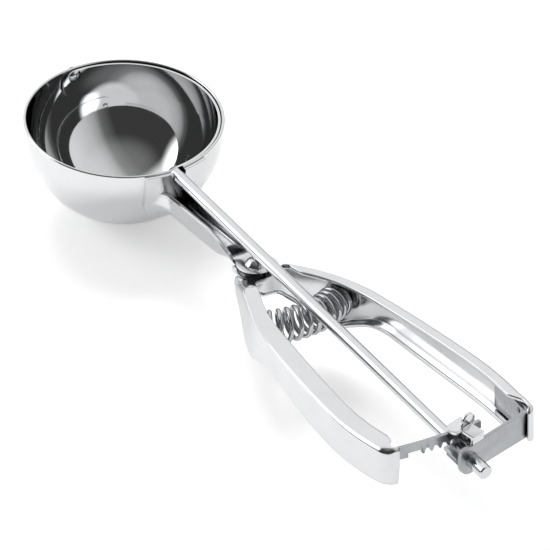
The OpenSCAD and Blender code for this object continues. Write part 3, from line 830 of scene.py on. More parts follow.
def low_side(x, near_x, near_low):
    """Height of a handle's lower edge at x: root, finger hump, waist and belly."""
    if x >= WAIST_X:
        return belly_side(x)
    reach = HUMP_R - 0.1
    first = (HUMP[0] - reach * math.cos(HUMP_NEAR_TURN), HUMP[1] - reach * math.sin(HUMP_NEAR_TURN))
    last = (HUMP[0] + reach * math.cos(HUMP_FAR_TURN), HUMP[1] - reach * math.sin(HUMP_FAR_TURN))
    lows = []
    if x <= first[0]:
        lows.append(mix(near_low, first[1], (x - near_x) / (first[0] - near_x)))
    if x >= last[0]:
        lows.append(mix(last[1], belly_side(WAIST_X), (x - last[0]) / (WAIST_X - last[0])))
    if abs(x - HUMP[0]) < HUMP_R - 0.4:
        lows.append(HUMP[1] - math.sqrt(HUMP_R ** 2 - (x - HUMP[0]) ** 2))
    return min(lows)


def soft_low(x, near_x, near_low):
    """The lower edge with its corners eased: a little everywhere, and in a long curve at the waist."""
    at_waist = smooth_step(x, 26, 34) * (1 - smooth_step(x, 44, 54))
    reach = mix(1.2, 6.0, at_waist)
    spread = [low_side(max(x + d, near_x), near_x, near_low) for d in np.linspace(-reach, reach, 13)]
    eased = sum(spread) / len(spread)
    return mix(max(eased, low_side(x, near_x, near_low)), eased, at_waist)


print("hump's lowest point", round(low_side(HUMP[0], FIXED_FROM[0], FIXED_LOW), 2), "mm")

# %% Section of a channel


def channel_section(top, low, wide_top, wide_low, r_top, r_low, inset):
    """(depth from the outer face, height) pairs over the sheet's outer or inner face."""
    r_top_in = max(r_top - inset, 0.02)
    r_low_in = max(r_low - inset, 0.02)
    line = [(mix(wide_top, r_top, t), top - inset) for t in np.linspace(0, 1, 6, endpoint=False)]
    for a in np.linspace(0, math.pi / 2, 9):
        line.append((r_top - r_top_in * math.sin(a), top - r_top + r_top_in * math.cos(a)))
    line += [(inset, mix(top - r_top, low + r_low, t)) for t in np.linspace(0, 1, 9)[1:-1]]
    for a in np.linspace(0, math.pi / 2, 9):
        line.append((r_low - r_low_in * math.cos(a), low + r_low - r_low_in * math.sin(a)))
    line += [(mix(r_low, wide_low, t), low + inset) for t in np.linspace(0, 1, 6)[1:]]
    return line


def channel_grids(stations, shape, mirrored):
    """Outer and inner grid of a channel. shape(x, i) gives a station's top, low, widths and corners."""
    grids = []
    for inset in (0.0, SHEET):
        grid = []
        for i, (x, y, h) in enumerate(stations):
            a = math.radians(h)
            inward = (math.sin(a), -math.cos(a))
            row = []
            for depth, z in channel_section(*shape(x, i), inset):
                px = x + depth * inward[0]
                py = y + depth * inward[1]
                row.append((px, -py if mirrored else py, z))
            grid.append(row)
        grids.append(np.array(grid))
    return grids


def handle(name, stations, shape, mirrored, body, node):
    """A polished channel along its stations, on the other side of the pivot if mirrored."""
    outer, inner = channel_grids(stations, shape, mirrored)
    points, faces = pressing(to_world(outer), to_world(inner), bulge=0.2)
    return piece(name, points, faces, HANDLE_STEEL, body, node, 50)


print("channel section has", len(channel_section(1.7, -9, 6, 6, 2, 1.5, 0)), "points")

# %% [markdown]
# The lever's upper flange starts low, under the pivot's tab, and climbs to full height in the
# first ten millimetres. It is narrow there and widens towards the grip. Round the far corner
# both flanges run out, and only the web carries on as the end wall that holds the rack.

# %% Lever
FLANGE = 6.2
ROOT_FLANGE = 9.8
NARROW_FLANGE = 4.5
# round the corner the flanges nearly reach the corner's own centre
CORNER_DEPTH = lever_5r - 0.15
# corners of the sheet between web and flange, above and below
TOP_R = 2.0
LOW_R = 1.5
# a flange no deeper than this is no more than the web's own edge
NO_FLANGE = SHEET + 0.08
NO_CORNER = SHEET + 0.02
# the end wall's lower corner slants up by this much
WALL_SLANT = 6.5
WALL_SLANT_STATIONS = 7


def lever_shape(x, i):
    """Section of the lever at station i. Its corner is counted in stations back from the end wall."""
    run_out = smooth_step(i, corner_at - 12, corner_at - 2)
    turning = smooth_step(i, corner_at - 34, corner_at - 26)
    rise = smooth_step(x, 2.5, 12.5)
    top_z = mix(TAB_LOW - 0.2, HANDLE_TOP, rise)
    low_z = soft_low(x, -0.5, LEVER_LOW) if x < 60 else belly_side(x)
    wall_end = len(lever_stations)
    low_z += WALL_SLANT * smooth_step(i, wall_end - WALL_SLANT_STATIONS, wall_end) ** 2
    wide_top = mix(mix(ROOT_FLANGE, NARROW_FLANGE, smooth_step(x, 1, 7.5)), FLANGE, smooth_step(x, 18, 42))
    wide_top = mix(wide_top, CORNER_DEPTH, turning)
    wide_low = mix(mix(1.6, FLANGE, smooth_step(x, 6, 16)), CORNER_DEPTH, turning)
    return (top_z, low_z, mix(wide_top, NO_FLANGE, run_out), mix(wide_low, NO_FLANGE, run_out),
            mix(TOP_R, NO_CORNER, run_out), mix(LOW_R, NO_CORNER, run_out))


handle("lever_channel", lever_stations, lever_shape, True, "lever", ("lever_handle",))

# %% [markdown]
# The fixed handle's sheet begins as the curved back wall of the pivot's housing, sweeps round
# the pivot and runs into the web of the handle. At the far end the flanges run out and the bare
# web curls in round the end plate.

# %% Fixed handle
FIXED_FLANGE = 4.2
# the back wall: its radius, half its width, and the heading at which it leaves for the handle
WALL_R = 12.0
WALL_HALF = 4.2
WALL_LEAVES = 76
# its centre is as far ahead as the lugs, a gap and the sheet need
WALL_GAP = 0.25
WALL_C = LUG_R + WALL_GAP + SHEET + WALL_R
# its free end is lower at the top and higher at the foot by this much
FREE_END_EASE = 2.2
# the flanges run out between these stations, counted from the start of the end's curl
RUN_OUT = (-15, -4)
# the curl's upper and lower edge have drawn in by this much at its end
CURL_TOP_EASE = 0.9
CURL_LOW_EASE = 1.2


def wall_stations(steps=22):
    """The back wall's arc about its centre, from its free end near the lever to the handle's root."""
    radius = WALL_R + SHEET
    out = []
    for h in np.linspace(90 + math.degrees(math.asin(WALL_HALF / radius)), WALL_LEAVES, steps):
        a = math.radians(h)
        out.append((WALL_C - radius * math.sin(a), radius * math.cos(a), h))
    return out


def joined(first, second, steps=10):
    """Two lists of stations with a soft run between them."""
    xa, ya, ha = first[-1]
    xb, yb, hb = second[0]
    gap = math.hypot(xb - xa, yb - ya)
    out = []
    for t in np.linspace(0, 1, steps + 2)[1:-1]:
        keep_a, leave_a = 2 * t ** 3 - 3 * t ** 2 + 1, t ** 3 - 2 * t ** 2 + t
        keep_b, reach_b = 3 * t ** 2 - 2 * t ** 3, t ** 3 - t ** 2
        pull_x = leave_a * math.cos(math.radians(ha)) + reach_b * math.cos(math.radians(hb))
        pull_y = leave_a * math.sin(math.radians(ha)) + reach_b * math.sin(math.radians(hb))
        x = keep_a * xa + keep_b * xb + gap * pull_x
        y = keep_a * ya + keep_b * yb + gap * pull_y
        out.append((x, y, mix(ha, hb, t)))
    return first + out + second


wall = wall_stations()
sweep = joined(wall, fixed_stations[5:])


def fixed_shape(x, i):
    """Section of the fixed handle at station i. along counts stations past the start of the end curl."""
    climb = smooth_step(i, len(wall) - 2, len(wall) + 12)
    free_end = 1 - smooth_step(i, 0, 12)
    top_z = mix(TAB_LOW - 0.05 - FREE_END_EASE * free_end, HANDLE_TOP, climb)
    low_z = belly_side(x)
    if x < 60:
        low_z = mix(FIXED_LOW + FREE_END_EASE * free_end, soft_low(x, FIXED_FROM[0], FIXED_LOW), climb)
    along = i - (len(sweep) - len(fixed_stations) + fixed_corner_at)
    run_out = smooth_step(along, *RUN_OUT)
    rounding = max(along, 0) / (len(fixed_stations) - fixed_corner_at)
    top_z -= CURL_TOP_EASE * rounding ** 2
    low_z += CURL_LOW_EASE * rounding ** 2
    here = climb * (1 - run_out)
    wide_top = mix(NO_FLANGE, FIXED_FLANGE, smooth_step(x, 5.2, 12) * here)
    wide_low = mix(NO_FLANGE, FIXED_FLANGE, smooth_step(x, 7, 20) * here)
    return top_z, low_z, wide_top, wide_low, mix(NO_CORNER, TOP_R, here), mix(NO_CORNER, LOW_R, here)


handle("fixed_channel", sweep, fixed_shape, False, "frame", ("fixed_handle",))

# %% [markdown]
# ## Pivot housing and lugs
# Under the tab the neck's sheet folds down into a side wall and a lower lug. The lever has two
# lugs of its own between tab and lower lug, and a rivet holds them all.

# %% Housing
BOX_HALF = 5.3
BOX_LOW = -8.0
BOX_CORNER = 1.4
# the lower lug begins to widen here
BOX_LUG_FROM = -7.5


def housing_shape(x, i):
    """Section of the housing: a side wall whose foot widens into the round lower lug."""
    lug = BOX_HALF + math.sqrt(max(LUG_R ** 2 - x ** 2, 0))
    wide = mix(NO_FLANGE, lug, smooth_step(x, BOX_LUG_FROM, -LUG_R))
    return TAB_LOW - 0.02, BOX_LOW, NO_FLANGE, wide, NO_CORNER, BOX_CORNER


housing_stations = [(x, BOX_HALF, 0.0) for x in np.linspace(-8, 4, 70)]
handle("pivot_housing", housing_stations, housing_shape, False, "frame", ())

# %% Flat stampings: an outline, a thickness and eased edges


def stamping(outline, low, high):
    """Points and faces of a flat plate from its outline in the handles' plane."""
    points = [(x, y, z) for z in (low, high) for x, y in outline]
    return points, prism_faces(len(outline))


def ease_edges(mesh, width, sharp=35, segments=2):
    """Rounds a mesh's sharp edges by a width in mm."""
    work = bmesh.new()
    work.from_mesh(mesh)
    edges = [e for e in work.edges if e.is_manifold and e.calc_face_angle(0) > math.radians(sharp)]
    bmesh.ops.bevel(work, geom=edges, offset=width * MM, segments=segments, profile=0.5,
                    affect="EDGES", clamp_overlap=True)
    work.to_mesh(mesh)
    work.free()


print("stampings are", SHEET, "mm thick")

# %% [markdown]
# The lever's own two lugs lie between the tab and the housing's lower lug. Each is round about
# the rivet and reaches across to the lever's web. The upper one is short, because the lever's
# flange takes over from it, and the lower one reaches along the web.

# %% Lever's lugs
LUG_GAP = 0.3


def root_y(x):
    """Outer face of the lever's straight root at x."""
    return LEVER_FROM[1] + (x - LEVER_FROM[0]) * math.tan(math.radians(LEVER_TURN))


def lug_outline(reach, out):
    """Outline of a lug that reaches this far along the web and ends out mm short of its outer face."""
    web = [(reach, -root_y(reach) + out), (0.5, -root_y(0.5) + out), (-0.4, -root_y(0.5) + out + 0.9)]
    inner = [(reach, -root_y(reach) + 3.2), (3.6, -root_y(3.6) + 3.4)]
    turns = np.linspace(math.radians(-15), math.radians(200), 40)
    round_part = [(LUG_R * math.cos(t), LUG_R * math.sin(t)) for t in turns]
    return round_part + [web[2], web[1], web[0], inner[0], inner[1]]


lug_points, lug_faces = [], []
upper_lug = (TAB_LOW - LUG_GAP - SHEET, 4.0, 2.6)
lower_lug = (BOX_LOW + SHEET + 0.5, 13.0, 0.7)
for base, reach, out in (upper_lug, lower_lug):
    points, faces = stamping(lug_outline(reach, out), base, base + SHEET)
    lug_faces += [tuple(i + len(lug_points) for i in face) for face in faces]
    lug_points += points
lug_mesh = solid_mesh("lever_lugs", to_world(lug_points), lug_faces, THIN)
ease_edges(lug_mesh, 0.15)
finish_piece("lever_lugs", lug_mesh, HANDLE_STEEL, "lever")

# %% [markdown]
# ## Rivet, rod and pins
# Round parts are turned on a lathe: a list of places along the axis, each with its radius,
# describes them fully. The heads of the rivets are low domes.

# %% Turned parts


def dome_profile(r, h, from_x, steps=14):
    """(x, radius) pairs of a low dome of foot radius r and height h that points along +x."""
    ball = (r * r + h * h) / (2 * h)
    edge = math.asin(min(r / ball, 1.0))
    centre = from_x + h - ball
    return [(centre + ball * math.cos(a), ball * math.sin(a)) for a in np.linspace(edge, 0, steps)]


def turned_piece(name, profile, body, material, stands_for=(), upright=False, segments=64, angle=40):
    """A turned part on the rod's axis, or on the pivot's axis if it stands upright."""
    points, faces = turned(profile, segments)
    if upright:
        points = to_world(np.stack([points[:, 1], points[:, 2], points[:, 0]], axis=1))
    else:
        points = points + np.array([0, 0, AXIS_Z])
    return piece(name, points, faces, material, body, stands_for, angle)


print("a dome of 3 by 1 mm has", len(dome_profile(3, 1, 0)), "places in its outline")

# %% Pivot rivet and washer
RIVET_HEAD_R = 3.2
RIVET_LOW_H = 1.4
RIVET_TOP_H = 1.9
RIVET_SHANK_R = 1.82
WASHER_HOLE_R = 1.9
WASHER_T = 0.4
WASHER_EASE = 0.1

rivet = [(BOX_LOW - RIVET_LOW_H + 0.02, 0.0)]
rivet += [(2 * BOX_LOW - x, r) for x, r in dome_profile(RIVET_HEAD_R, RIVET_LOW_H, BOX_LOW)[::-1]][1:]
rivet += [(BOX_LOW, RIVET_SHANK_R), (-0.02, RIVET_SHANK_R), (0.0, 3.0)]
rivet += dome_profile(RIVET_HEAD_R, RIVET_TOP_H, 0.0)
turned_piece("pivot_rivet_dome", rivet, "frame", HANDLE_STEEL, ("pivot_rivet",),
             upright=True)

washer_low = BOX_LOW + SHEET
washer_top = washer_low + WASHER_T
washer = [(washer_low, WASHER_HOLE_R), (washer_low, LUG_R - WASHER_EASE), (washer_low + WASHER_EASE, LUG_R),
          (washer_top - WASHER_EASE, LUG_R), (washer_top, LUG_R - WASHER_EASE),
          (washer_top, WASHER_HOLE_R), (washer_low, WASHER_HOLE_R)]
turned_piece("washer_ring", washer, "frame", STAMPED_STEEL, ("pivot_washer",), upright=True)

# %% Rod and journal
ROD_R = 1.9
CROSS_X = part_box("pinion")[0].x / MM
PINION_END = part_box("pinion")[1].x / MM
HEAD_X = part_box("near_rivet")[1].x / MM
# the rod is stepped down where it passes the blade
STEP_R = 1.2
step_x = BLADE_R + 0.05
rod_profile = [(HEAD_X, 0.0), (HEAD_X, STEP_R), (step_x, STEP_R), (step_x, ROD_R - 0.25),
               (step_x + 0.25, ROD_R), (CROSS_X, ROD_R), (CROSS_X, 0.0)]
turned_piece("rod_bar", rod_profile, "wiper", BAR_STEEL, ("drive_rod",), angle=30)

JOURNAL_R = 2.15
JOURNAL_EASE = 0.35
journal_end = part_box("journal")[1].x / MM
journal_profile = [(PINION_END, 0.0), (PINION_END, JOURNAL_R), (journal_end - JOURNAL_EASE, JOURNAL_R),
                   (journal_end, JOURNAL_R - JOURNAL_EASE), (journal_end, 0.0)]
turned_piece("journal_bar", journal_profile, "wiper", BAR_STEEL, ("journal",), angle=30)

# %% Rivet heads in the bowl
HEAD_R = 2.1
HEAD_H = 0.9
FAR_HEAD_H = 0.8
near = [(2 * HEAD_X - x, r) for x, r in dome_profile(HEAD_R, HEAD_H, HEAD_X)][::-1] + [(HEAD_X, 0.0)]
turned_piece("rod_rivet_head", near, "wiper", MIRROR_STEEL, ("near_rivet",))

far_x = -BOWL_R - 0.2
far = [(2 * far_x - x, r) for x, r in dome_profile(HEAD_R, FAR_HEAD_H, far_x)][::-1]
far += [(far_x, STEP_R), (-HEAD_X, STEP_R), (-HEAD_X, HEAD_R)] + dome_profile(HEAD_R, HEAD_H, -HEAD_X)[1:]
turned_piece("far_pin_bar", far, "wiper", MIRROR_STEEL, ("far_pin",))

# %% [markdown]
# ## Stamped and cut parts
# The end plate, its guide, the rack and the spring seats are small flat or bent stampings
# whose solids are right as they are. A copy of each is merged, freed of the triangles on its
# flat faces, and given eased edges, so that the light finds them.

# %% Eased copies of the solids


def eased_copy(node, name, body, material, width=0.15, flat=0.4):
    """A copy of a solid with its edges eased."""
    work = bmesh.new()
    work.from_mesh(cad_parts[node].data)
    bmesh.ops.remove_doubles(work, verts=work.verts, dist=MERGE * MM)
    bmesh.ops.dissolve_limit(work, angle_limit=math.radians(flat), verts=work.verts, edges=work.edges)
    mesh = bpy.data.meshes.new(name)
    work.to_mesh(mesh)
    work.free()
    ease_edges(mesh, width, sharp=28)
    return finish_piece(name, mesh, material, body, (node,), 30)


eased_copy("end_plate", "end_plate_stamping", "frame", STAMPED_STEEL, 0.2)
eased_copy("rack_guide", "guide_stamping", "frame", HANDLE_STEEL, 0.18)
eased_copy("rack", "rack_strip", "lever", STAMPED_STEEL, 0.1)
eased_copy("fixed_seat", "fixed_seat_cup", "frame", STAMPED_STEEL, 0.15)
eased_copy("lever_seat", "lever_seat_cup", "lever", STAMPED_STEEL, 0.15)

# %% [markdown]
# ## Pinion and weld spots
# The pinion's teeth are all alike, and so are the weld spots. Geometry Nodes draw one and set
# the rest: the pinion from a circle whose radius rises and falls once for each tooth, the
# spots as domes on two points.

# %% Geometry Nodes helpers


def node_tree(name, inputs):
    """A Geometry Nodes tree with named number inputs. Returns the tree, its input and its output node."""
    tree = bpy.data.node_groups.new(name, "GeometryNodeTree")
    for label, value in inputs.items():
        kind = "NodeSocketInt" if isinstance(value, int) else "NodeSocketFloat"
        socket = tree.interface.new_socket(label, in_out="INPUT", socket_type=kind)
        socket.default_value = value
    tree.interface.new_socket("Geometry", in_out="OUTPUT", socket_type="NodeSocketGeometry")
    return tree, add_node(tree, "NodeGroupInput").outputs, add_node(tree, "NodeGroupOutput")


def finish_tree(tree, output, geometry, material):
    """Ends a tree in Realize Instances and Set Material."""
    real = add_node(tree, "GeometryNodeRealizeInstances", {"Geometry": geometry}).outputs[0]
    painted = add_node(tree, "GeometryNodeSetMaterial", {"Geometry": real, "Material": material}).outputs[0]
    tree.links.new(painted, output.inputs[0])


def grown(name, tree, values):
    """Runs a tree with values for its named inputs, in metres, and returns the plain mesh."""
    mesh = bpy.data.meshes.new(name)
    host = bpy.data.objects.new(name + "_host", mesh)
    bpy.context.scene.collection.objects.link(host)
    step = host.modifiers.new("grow", "NODES")
    step.node_group = tree
    for item in tree.interface.items_tree:
        if item.in_out == "INPUT" and item.name in values:
            step[item.identifier] = values[item.name]
    bpy.context.view_layer.update()
    result = bpy.data.meshes.new_from_object(host.evaluated_get(bpy.context.evaluated_depsgraph_get()))
    host.modifiers.remove(step)
    bpy.data.objects.remove(host)
    result.materials.clear()
    print(f"{name}: grown with {len(result.polygons)} faces")
    return result


def place_mesh(mesh, matrix):
    """Moves a mesh's own points, so that its object can stay at the origin."""
    mesh.transform(matrix)
    mesh.update()


print("node trees so far:", len(bpy.data.node_groups))

# %% Pinion
PITCH_R = 3.4
TEETH = 8
TOOTH = 1.36
TOOTH_POINTS = 24.0
# the wave from tooth to gap is this much too high and gets cut off, which leaves flat tips and feet
TOOTH_FLANK = 1.7


def gear_tree():
    """A toothed wheel: a circle whose radius rises and falls once for each tooth, made solid."""
    tree, given, output = node_tree("toothed_wheel", {
        "Teeth": TEETH, "Middle radius": 0.0033, "Tooth depth": 0.0013, "Length": 0.006})
    known = {socket.name: socket for socket in given}
    known["index"] = add_node(tree, "GeometryNodeInputIndex").outputs[0]
    calculate(tree, known, (
        ("points", "MULTIPLY", "Teeth", TOOTH_POINTS),
        ("way", "MULTIPLY", "index", math.tau),
        ("turn", "DIVIDE", "way", TOOTH_POINTS),
        ("cosine", "COSINE", "turn"),
        ("wave", "MULTIPLY", "cosine", TOOTH_FLANK),
        ("cut below", "MAXIMUM", "wave", -1.0),
        ("cut above", "MINIMUM", "cut below", 1.0),
        ("half tooth", "MULTIPLY", "Tooth depth", 0.5),
        ("rise", "MULTIPLY", "cut above", "half tooth"),
        ("radius", "ADD", "Middle radius", "rise")))
    ring = add_node(tree, "GeometryNodeMeshCircle", {"Vertices": known["points"], "Radius": 1.0},
                    fill_type="NGON")
    spot = add_node(tree, "GeometryNodeInputPosition").outputs[0]
    wide = add_node(tree, "ShaderNodeVectorMath", {0: spot, "Scale": known["radius"]}, operation="SCALE")
    shaped = add_node(tree, "GeometryNodeSetPosition",
                      {"Geometry": ring.outputs[0], "Position": wide.outputs[0]}).outputs[0]
    length = add_node(tree, "ShaderNodeCombineXYZ", {"Z": given["Length"]}).outputs[0]
    solid = add_node(tree, "GeometryNodeExtrudeMesh",
                     {"Mesh": shaped, "Offset": length, "Offset Scale": 1.0, "Individual": False})
    flipped = add_node(tree, "GeometryNodeFlipFaces", {"Mesh": shaped})
    both = add_node(tree, "GeometryNodeJoinGeometry")
    for part in (solid, flipped):
        tree.links.new(part.outputs[0], both.inputs[0])
    finish_tree(tree, output, both.outputs[0], STAMPED_STEEL)
    return tree


pinion_mesh = grown("pinion_wheel", gear_tree(), {
    "Teeth": TEETH, "Middle radius": PITCH_R * MM - 0.05 * MM, "Tooth depth": TOOTH * MM,
    "Length": (PINION_END - CROSS_X) * MM})
face_outwards(pinion_mesh, merge=True)
along_rod = Matrix.Rotation(math.pi / 2, 4, "Y") @ Matrix.Rotation(math.pi, 4, "Z")
place_mesh(pinion_mesh, Matrix.Translation((CROSS_X * MM, 0, AXIS_Z * MM)) @ along_rod)
ease_edges(pinion_mesh, 0.12, sharp=50)
finish_piece("pinion_wheel", pinion_mesh, STAMPED_STEEL, "wiper", ("pinion",), 30)

# %% [markdown]
# Two spots hold the guide to the end plate. The solids say where they are: their points fall
# into an upper and a lower half, and each half's middle is a spot's centre.

# %% Weld spots
SPOT_R = 0.8
SPOT_H = 0.14
# the end plate's face is turned by this much about the upright axis
PLATE_TURN = math.radians(12)

weld_low, weld_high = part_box("weld_dots")
spots = [point.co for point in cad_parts["weld_dots"].data.vertices]
halves = [[p for p in spots if (p.z > (weld_low.z + weld_high.z) / 2) == up] for up in (True, False)]
centres = [sum(half, Vector()) / len(half) for half in halves]
print("spot welds at", [tuple(round(v / MM, 1) for v in centre) for centre in centres])


def spot_tree():
    """Two flattened balls, one at the start and one at the given spacing from it."""
    tree, given, output = node_tree("weld_spots", {"Radius": 0.0008, "Height": 0.0003, "Spacing": 0.005})
    known = {socket.name: socket for socket in given}
    calculate(tree, known, (("flatness", "DIVIDE", "Height", "Radius"),))
    step = add_node(tree, "ShaderNodeCombineXYZ", {"X": given["Spacing"]}).outputs[0]
    line = add_node(tree, "GeometryNodeMeshLine",
                    {"Count": 2, "Start Location": (0, 0, 0), "Offset": step}, mode="OFFSET")
    ball = add_node(tree, "GeometryNodeMeshUVSphere",
                    {"Segments": 24, "Rings": 12, "Radius": given["Radius"]})
    flat = add_node(tree, "ShaderNodeCombineXYZ", {"X": 1.0, "Y": 1.0, "Z": known["flatness"]})
    dots = add_node(tree, "GeometryNodeInstanceOnPoints",
                    {"Points": line.outputs[0], "Instance": ball.outputs[0], "Scale": flat.outputs[0]})
    finish_tree(tree, output, dots.outputs[0], WELD_STEEL)
    return tree


between = centres[1] - centres[0]
weld_mesh = grown("weld_spots", spot_tree(), {
    "Radius": SPOT_R * MM, "Height": SPOT_H * MM, "Spacing": between.length})
across = between.normalized()
face_out = Vector((-math.sin(PLATE_TURN), -1, 0)).normalized()
third = face_out.cross(across).normalized()
face_out = across.cross(third).normalized()
weld_turn = Matrix((across, third, face_out)).transposed().to_4x4()
place_mesh(weld_mesh, Matrix.Translation(centres[0]) @ weld_turn)
finish_piece("weld_spots", weld_mesh, WELD_STEEL, "frame", ("weld_dots",), 60)

# %% [markdown]
# ## Spring
# The coil pushes the handles apart. Its wire follows a helix whose own axis is bent about the
# pivot. In Geometry Nodes a line of points is laid onto that helix by formula, with the number
# of curls, the coil and the wire as inputs, and a round profile is swept along it.

# %% Path of the spring's wire
CURLS = 11
CURL_POINTS = 40
WIRE_D = 1.5
COIL_D = 10.6
# the coil's axis: its radius about the pivot, and how far it reaches to either side, in degrees
SPRING_R = 26.2
SPRING_HALF = 30.0
# curls stand this much wider at the lever's end than in the middle
SPREAD = 0.17
# the coil hangs just under the rod
ROD_GAP = 0.35
SPRING_Z = AXIS_Z - ROD_R - ROD_GAP - COIL_D / 2 - (PIVOT[2] + SPRING_R * math.tan(TILT))


def spring_tree():
    """A wire that winds about an axis bent round the pivot, from the lever to the fixed handle."""
    tree, given, output = node_tree("bent_coil", {
        "Curls": 11.0, "Coil radius": 0.0045, "Wire radius": 0.00075, "Bend radius": 0.026,
        "Half angle": 0.5, "Height": -0.005, "Spread": 0.17})
    total = CURLS * CURL_POINTS
    line = add_node(tree, "GeometryNodeCurvePrimitiveLine", {"Start": (0, 0, 0), "End": (1, 0, 0)})
    fine = add_node(tree, "GeometryNodeResampleCurve", {"Curve": line.outputs[0], "Count": total + 1})
    known = {socket.name: socket for socket in given}
    known["index"] = add_node(tree, "GeometryNodeInputIndex").outputs[0]
    calculate(tree, known, (
        # how far along the wire, from 0 to 1
        ("u", "DIVIDE", "index", float(total)),
        ("left", "SUBTRACT", 1.0, "u"),
        ("arch", "MULTIPLY", "u", "left"),
        ("ease", "MULTIPLY", "Spread", "arch"),
        # the place on the bent axis, from -1 to 1, and its angle
        ("eased", "ADD", "u", "ease"),
        ("twice", "MULTIPLY", "eased", 2.0),
        ("share", "SUBTRACT", "twice", 1.0),
        ("angle", "MULTIPLY", "share", "Half angle"),
        # the turn about the axis, which starts at the top
        ("curl", "MULTIPLY", "u", "Curls"),
        ("turn", "MULTIPLY", "curl", math.tau),
        ("phase", "ADD", "turn", math.pi / 2),
        ("outward", "COSINE", "phase"),
        ("out", "MULTIPLY", "Coil radius", "outward"),
        ("reach", "ADD", "Bend radius", "out"),
        ("upward", "SINE", "phase"),
        ("up", "MULTIPLY", "Coil radius", "upward"),
        ("ahead", "COSINE", "angle"),
        ("aside", "SINE", "angle"),
        ("X", "MULTIPLY", "reach", "ahead"),
        ("Y", "MULTIPLY", "reach", "aside"),
        ("Z", "ADD", "Height", "up")))
    spot = add_node(tree, "ShaderNodeCombineXYZ", {axis: known[axis] for axis in "XYZ"})
    helix = add_node(tree, "GeometryNodeSetPosition",
                     {"Geometry": fine.outputs[0], "Position": spot.outputs[0]})
    wire = add_node(tree, "GeometryNodeCurvePrimitiveCircle",
                    {"Resolution": 14, "Radius": given["Wire radius"]})
    tube = add_node(tree, "GeometryNodeCurveToMesh",
                    {"Curve": helix.outputs[0], "Profile Curve": wire.outputs[0], "Fill Caps": True})
    finish_tree(tree, output, tube.outputs[0], WIRE_STEEL)
    return tree


print("the spring's wire has", CURLS * CURL_POINTS + 1, "points")

# %% [markdown]
# When the lever closes, its seat moves on an arc about the pivot. Here the coil stands at rest
# between its two seats, and the place of its end on the fixed handle is worked out.

# %% Spring
spring_mesh = grown("spring_coil", spring_tree(), {
    "Curls": float(CURLS), "Coil radius": (COIL_D - WIRE_D) / 2 * MM, "Wire radius": WIRE_D / 2 * MM,
    "Bend radius": SPRING_R * MM, "Half angle": math.radians(SPRING_HALF), "Height": SPRING_Z * MM,
    "Spread": SPREAD})
place_mesh(spring_mesh, Matrix.Translation(Vector(PIVOT) * MM) @ Matrix.Rotation(-TILT, 4, "Y"))
coil = finish_piece("spring_coil", spring_mesh, WIRE_STEEL, "frame", ("spring",), 60)

half = math.radians(SPRING_HALF)
held_end = to_world(np.array([SPRING_R * math.cos(half), SPRING_R * math.sin(half), SPRING_Z])) * MM
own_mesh(coil)

# %% [markdown]
# ## Floor, room and light
# The scoop stands on white, as in a catalogue, and the camera sees nothing but white round it.
# A polished surface shows the room it stands in, though, so the reflections see a photographer's
# studio. It is drawn by direction alone: reflections meet one room and the camera another.

# %% Floor
FLOOR_HALF = 3
FLOOR_GAP = 0.3
CAMERA_GLOW = 0.3
MIRROR_GLOW = 0.15
WHITE = (1, 1, 1, 1)


def white_surface(name, grey, camera_glow, mirror_glow):
    """A matt white that shows shadows, and glows a little for the camera and for reflections."""
    material = bpy.data.materials.new(name)
    material.use_nodes = True
    tree = material.node_tree
    tree.nodes.clear()
    path = add_node(tree, "ShaderNodeLightPath").outputs
    matt = add_node(tree, "ShaderNodeBsdfDiffuse", {"Color": linear(grey)}).outputs[0]
    known = {"glossy": path["Is Glossy Ray"], "clear": path["Is Transmission Ray"]}
    calculate(tree, known, (("mirrors", "MAXIMUM", "glossy", "clear"),))
    shown = matt
    for rays, strength in ((path["Is Camera Ray"], camera_glow), (known["mirrors"], mirror_glow)):
        glow = add_node(tree, "ShaderNodeEmission", {"Color": WHITE, "Strength": strength}).outputs[0]
        bright = add_node(tree, "ShaderNodeAddShader", {0: matt, 1: glow}).outputs[0]
        shown = add_node(tree, "ShaderNodeMixShader", {0: rays, 1: shown, 2: bright}).outputs[0]
    add_node(tree, "ShaderNodeOutputMaterial", {"Surface": shown})
    return material


floor_z = min(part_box("lever_handle")[0].z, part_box("bowl")[0].z) - FLOOR_GAP * MM
floor_mesh = bpy.data.meshes.new("floor")
floor_corners = [(x * FLOOR_HALF, y * FLOOR_HALF, floor_z) for x, y in ((-1, -1), (1, -1), (1, 1), (-1, 1))]
floor_mesh.from_pydata(floor_corners, [], [(0, 1, 2, 3)])
floor_mesh.materials.append(white_surface("matt_white_floor", "F2F2F2", CAMERA_GLOW, MIRROR_GLOW))
floor = bpy.data.objects.new("floor", floor_mesh)
bpy.context.scene.collection.objects.link(floor)
print("floor at", round(floor_z / MM, 2), "mm")

# %% [markdown]
# The studio has a white wall on the scoop's +Y side and a white far end past the bowl. It is
# dark behind the camera and grey overhead, and a dark band stands along the horizon everywhere
# but past the bowl. One soft window, low on the bowl's side, puts the bright patch into the bowl.

# %% Room
# greys of the room from its dark side to its white wall, by place from 0 at -Y to 1 at +Y
WALLS = ((0.38, 0.05), (0.5, 0.17), (0.56, 0.42), (0.64, 0.6), (0.85, 0.85))
WINDOW_AT = (-0.62, -0.65, 0.42)
# each fades in between two places: what it goes by, the places, and the values before and after
FADES = {
    "far end": ("X", -0.3, -0.58, 0.0, 1.0),
    "overhead": ("Z", 0.72, 0.98, 0.0, 0.16),
    "window": ("window gap", 0.46, 0.2, 0.0, 1.6),
    "open end": ("X", -0.7, -0.82, 0.0, 1.0),
    "over the band": ("Z", 0.1, 0.28, 0.1, 1.0),
}

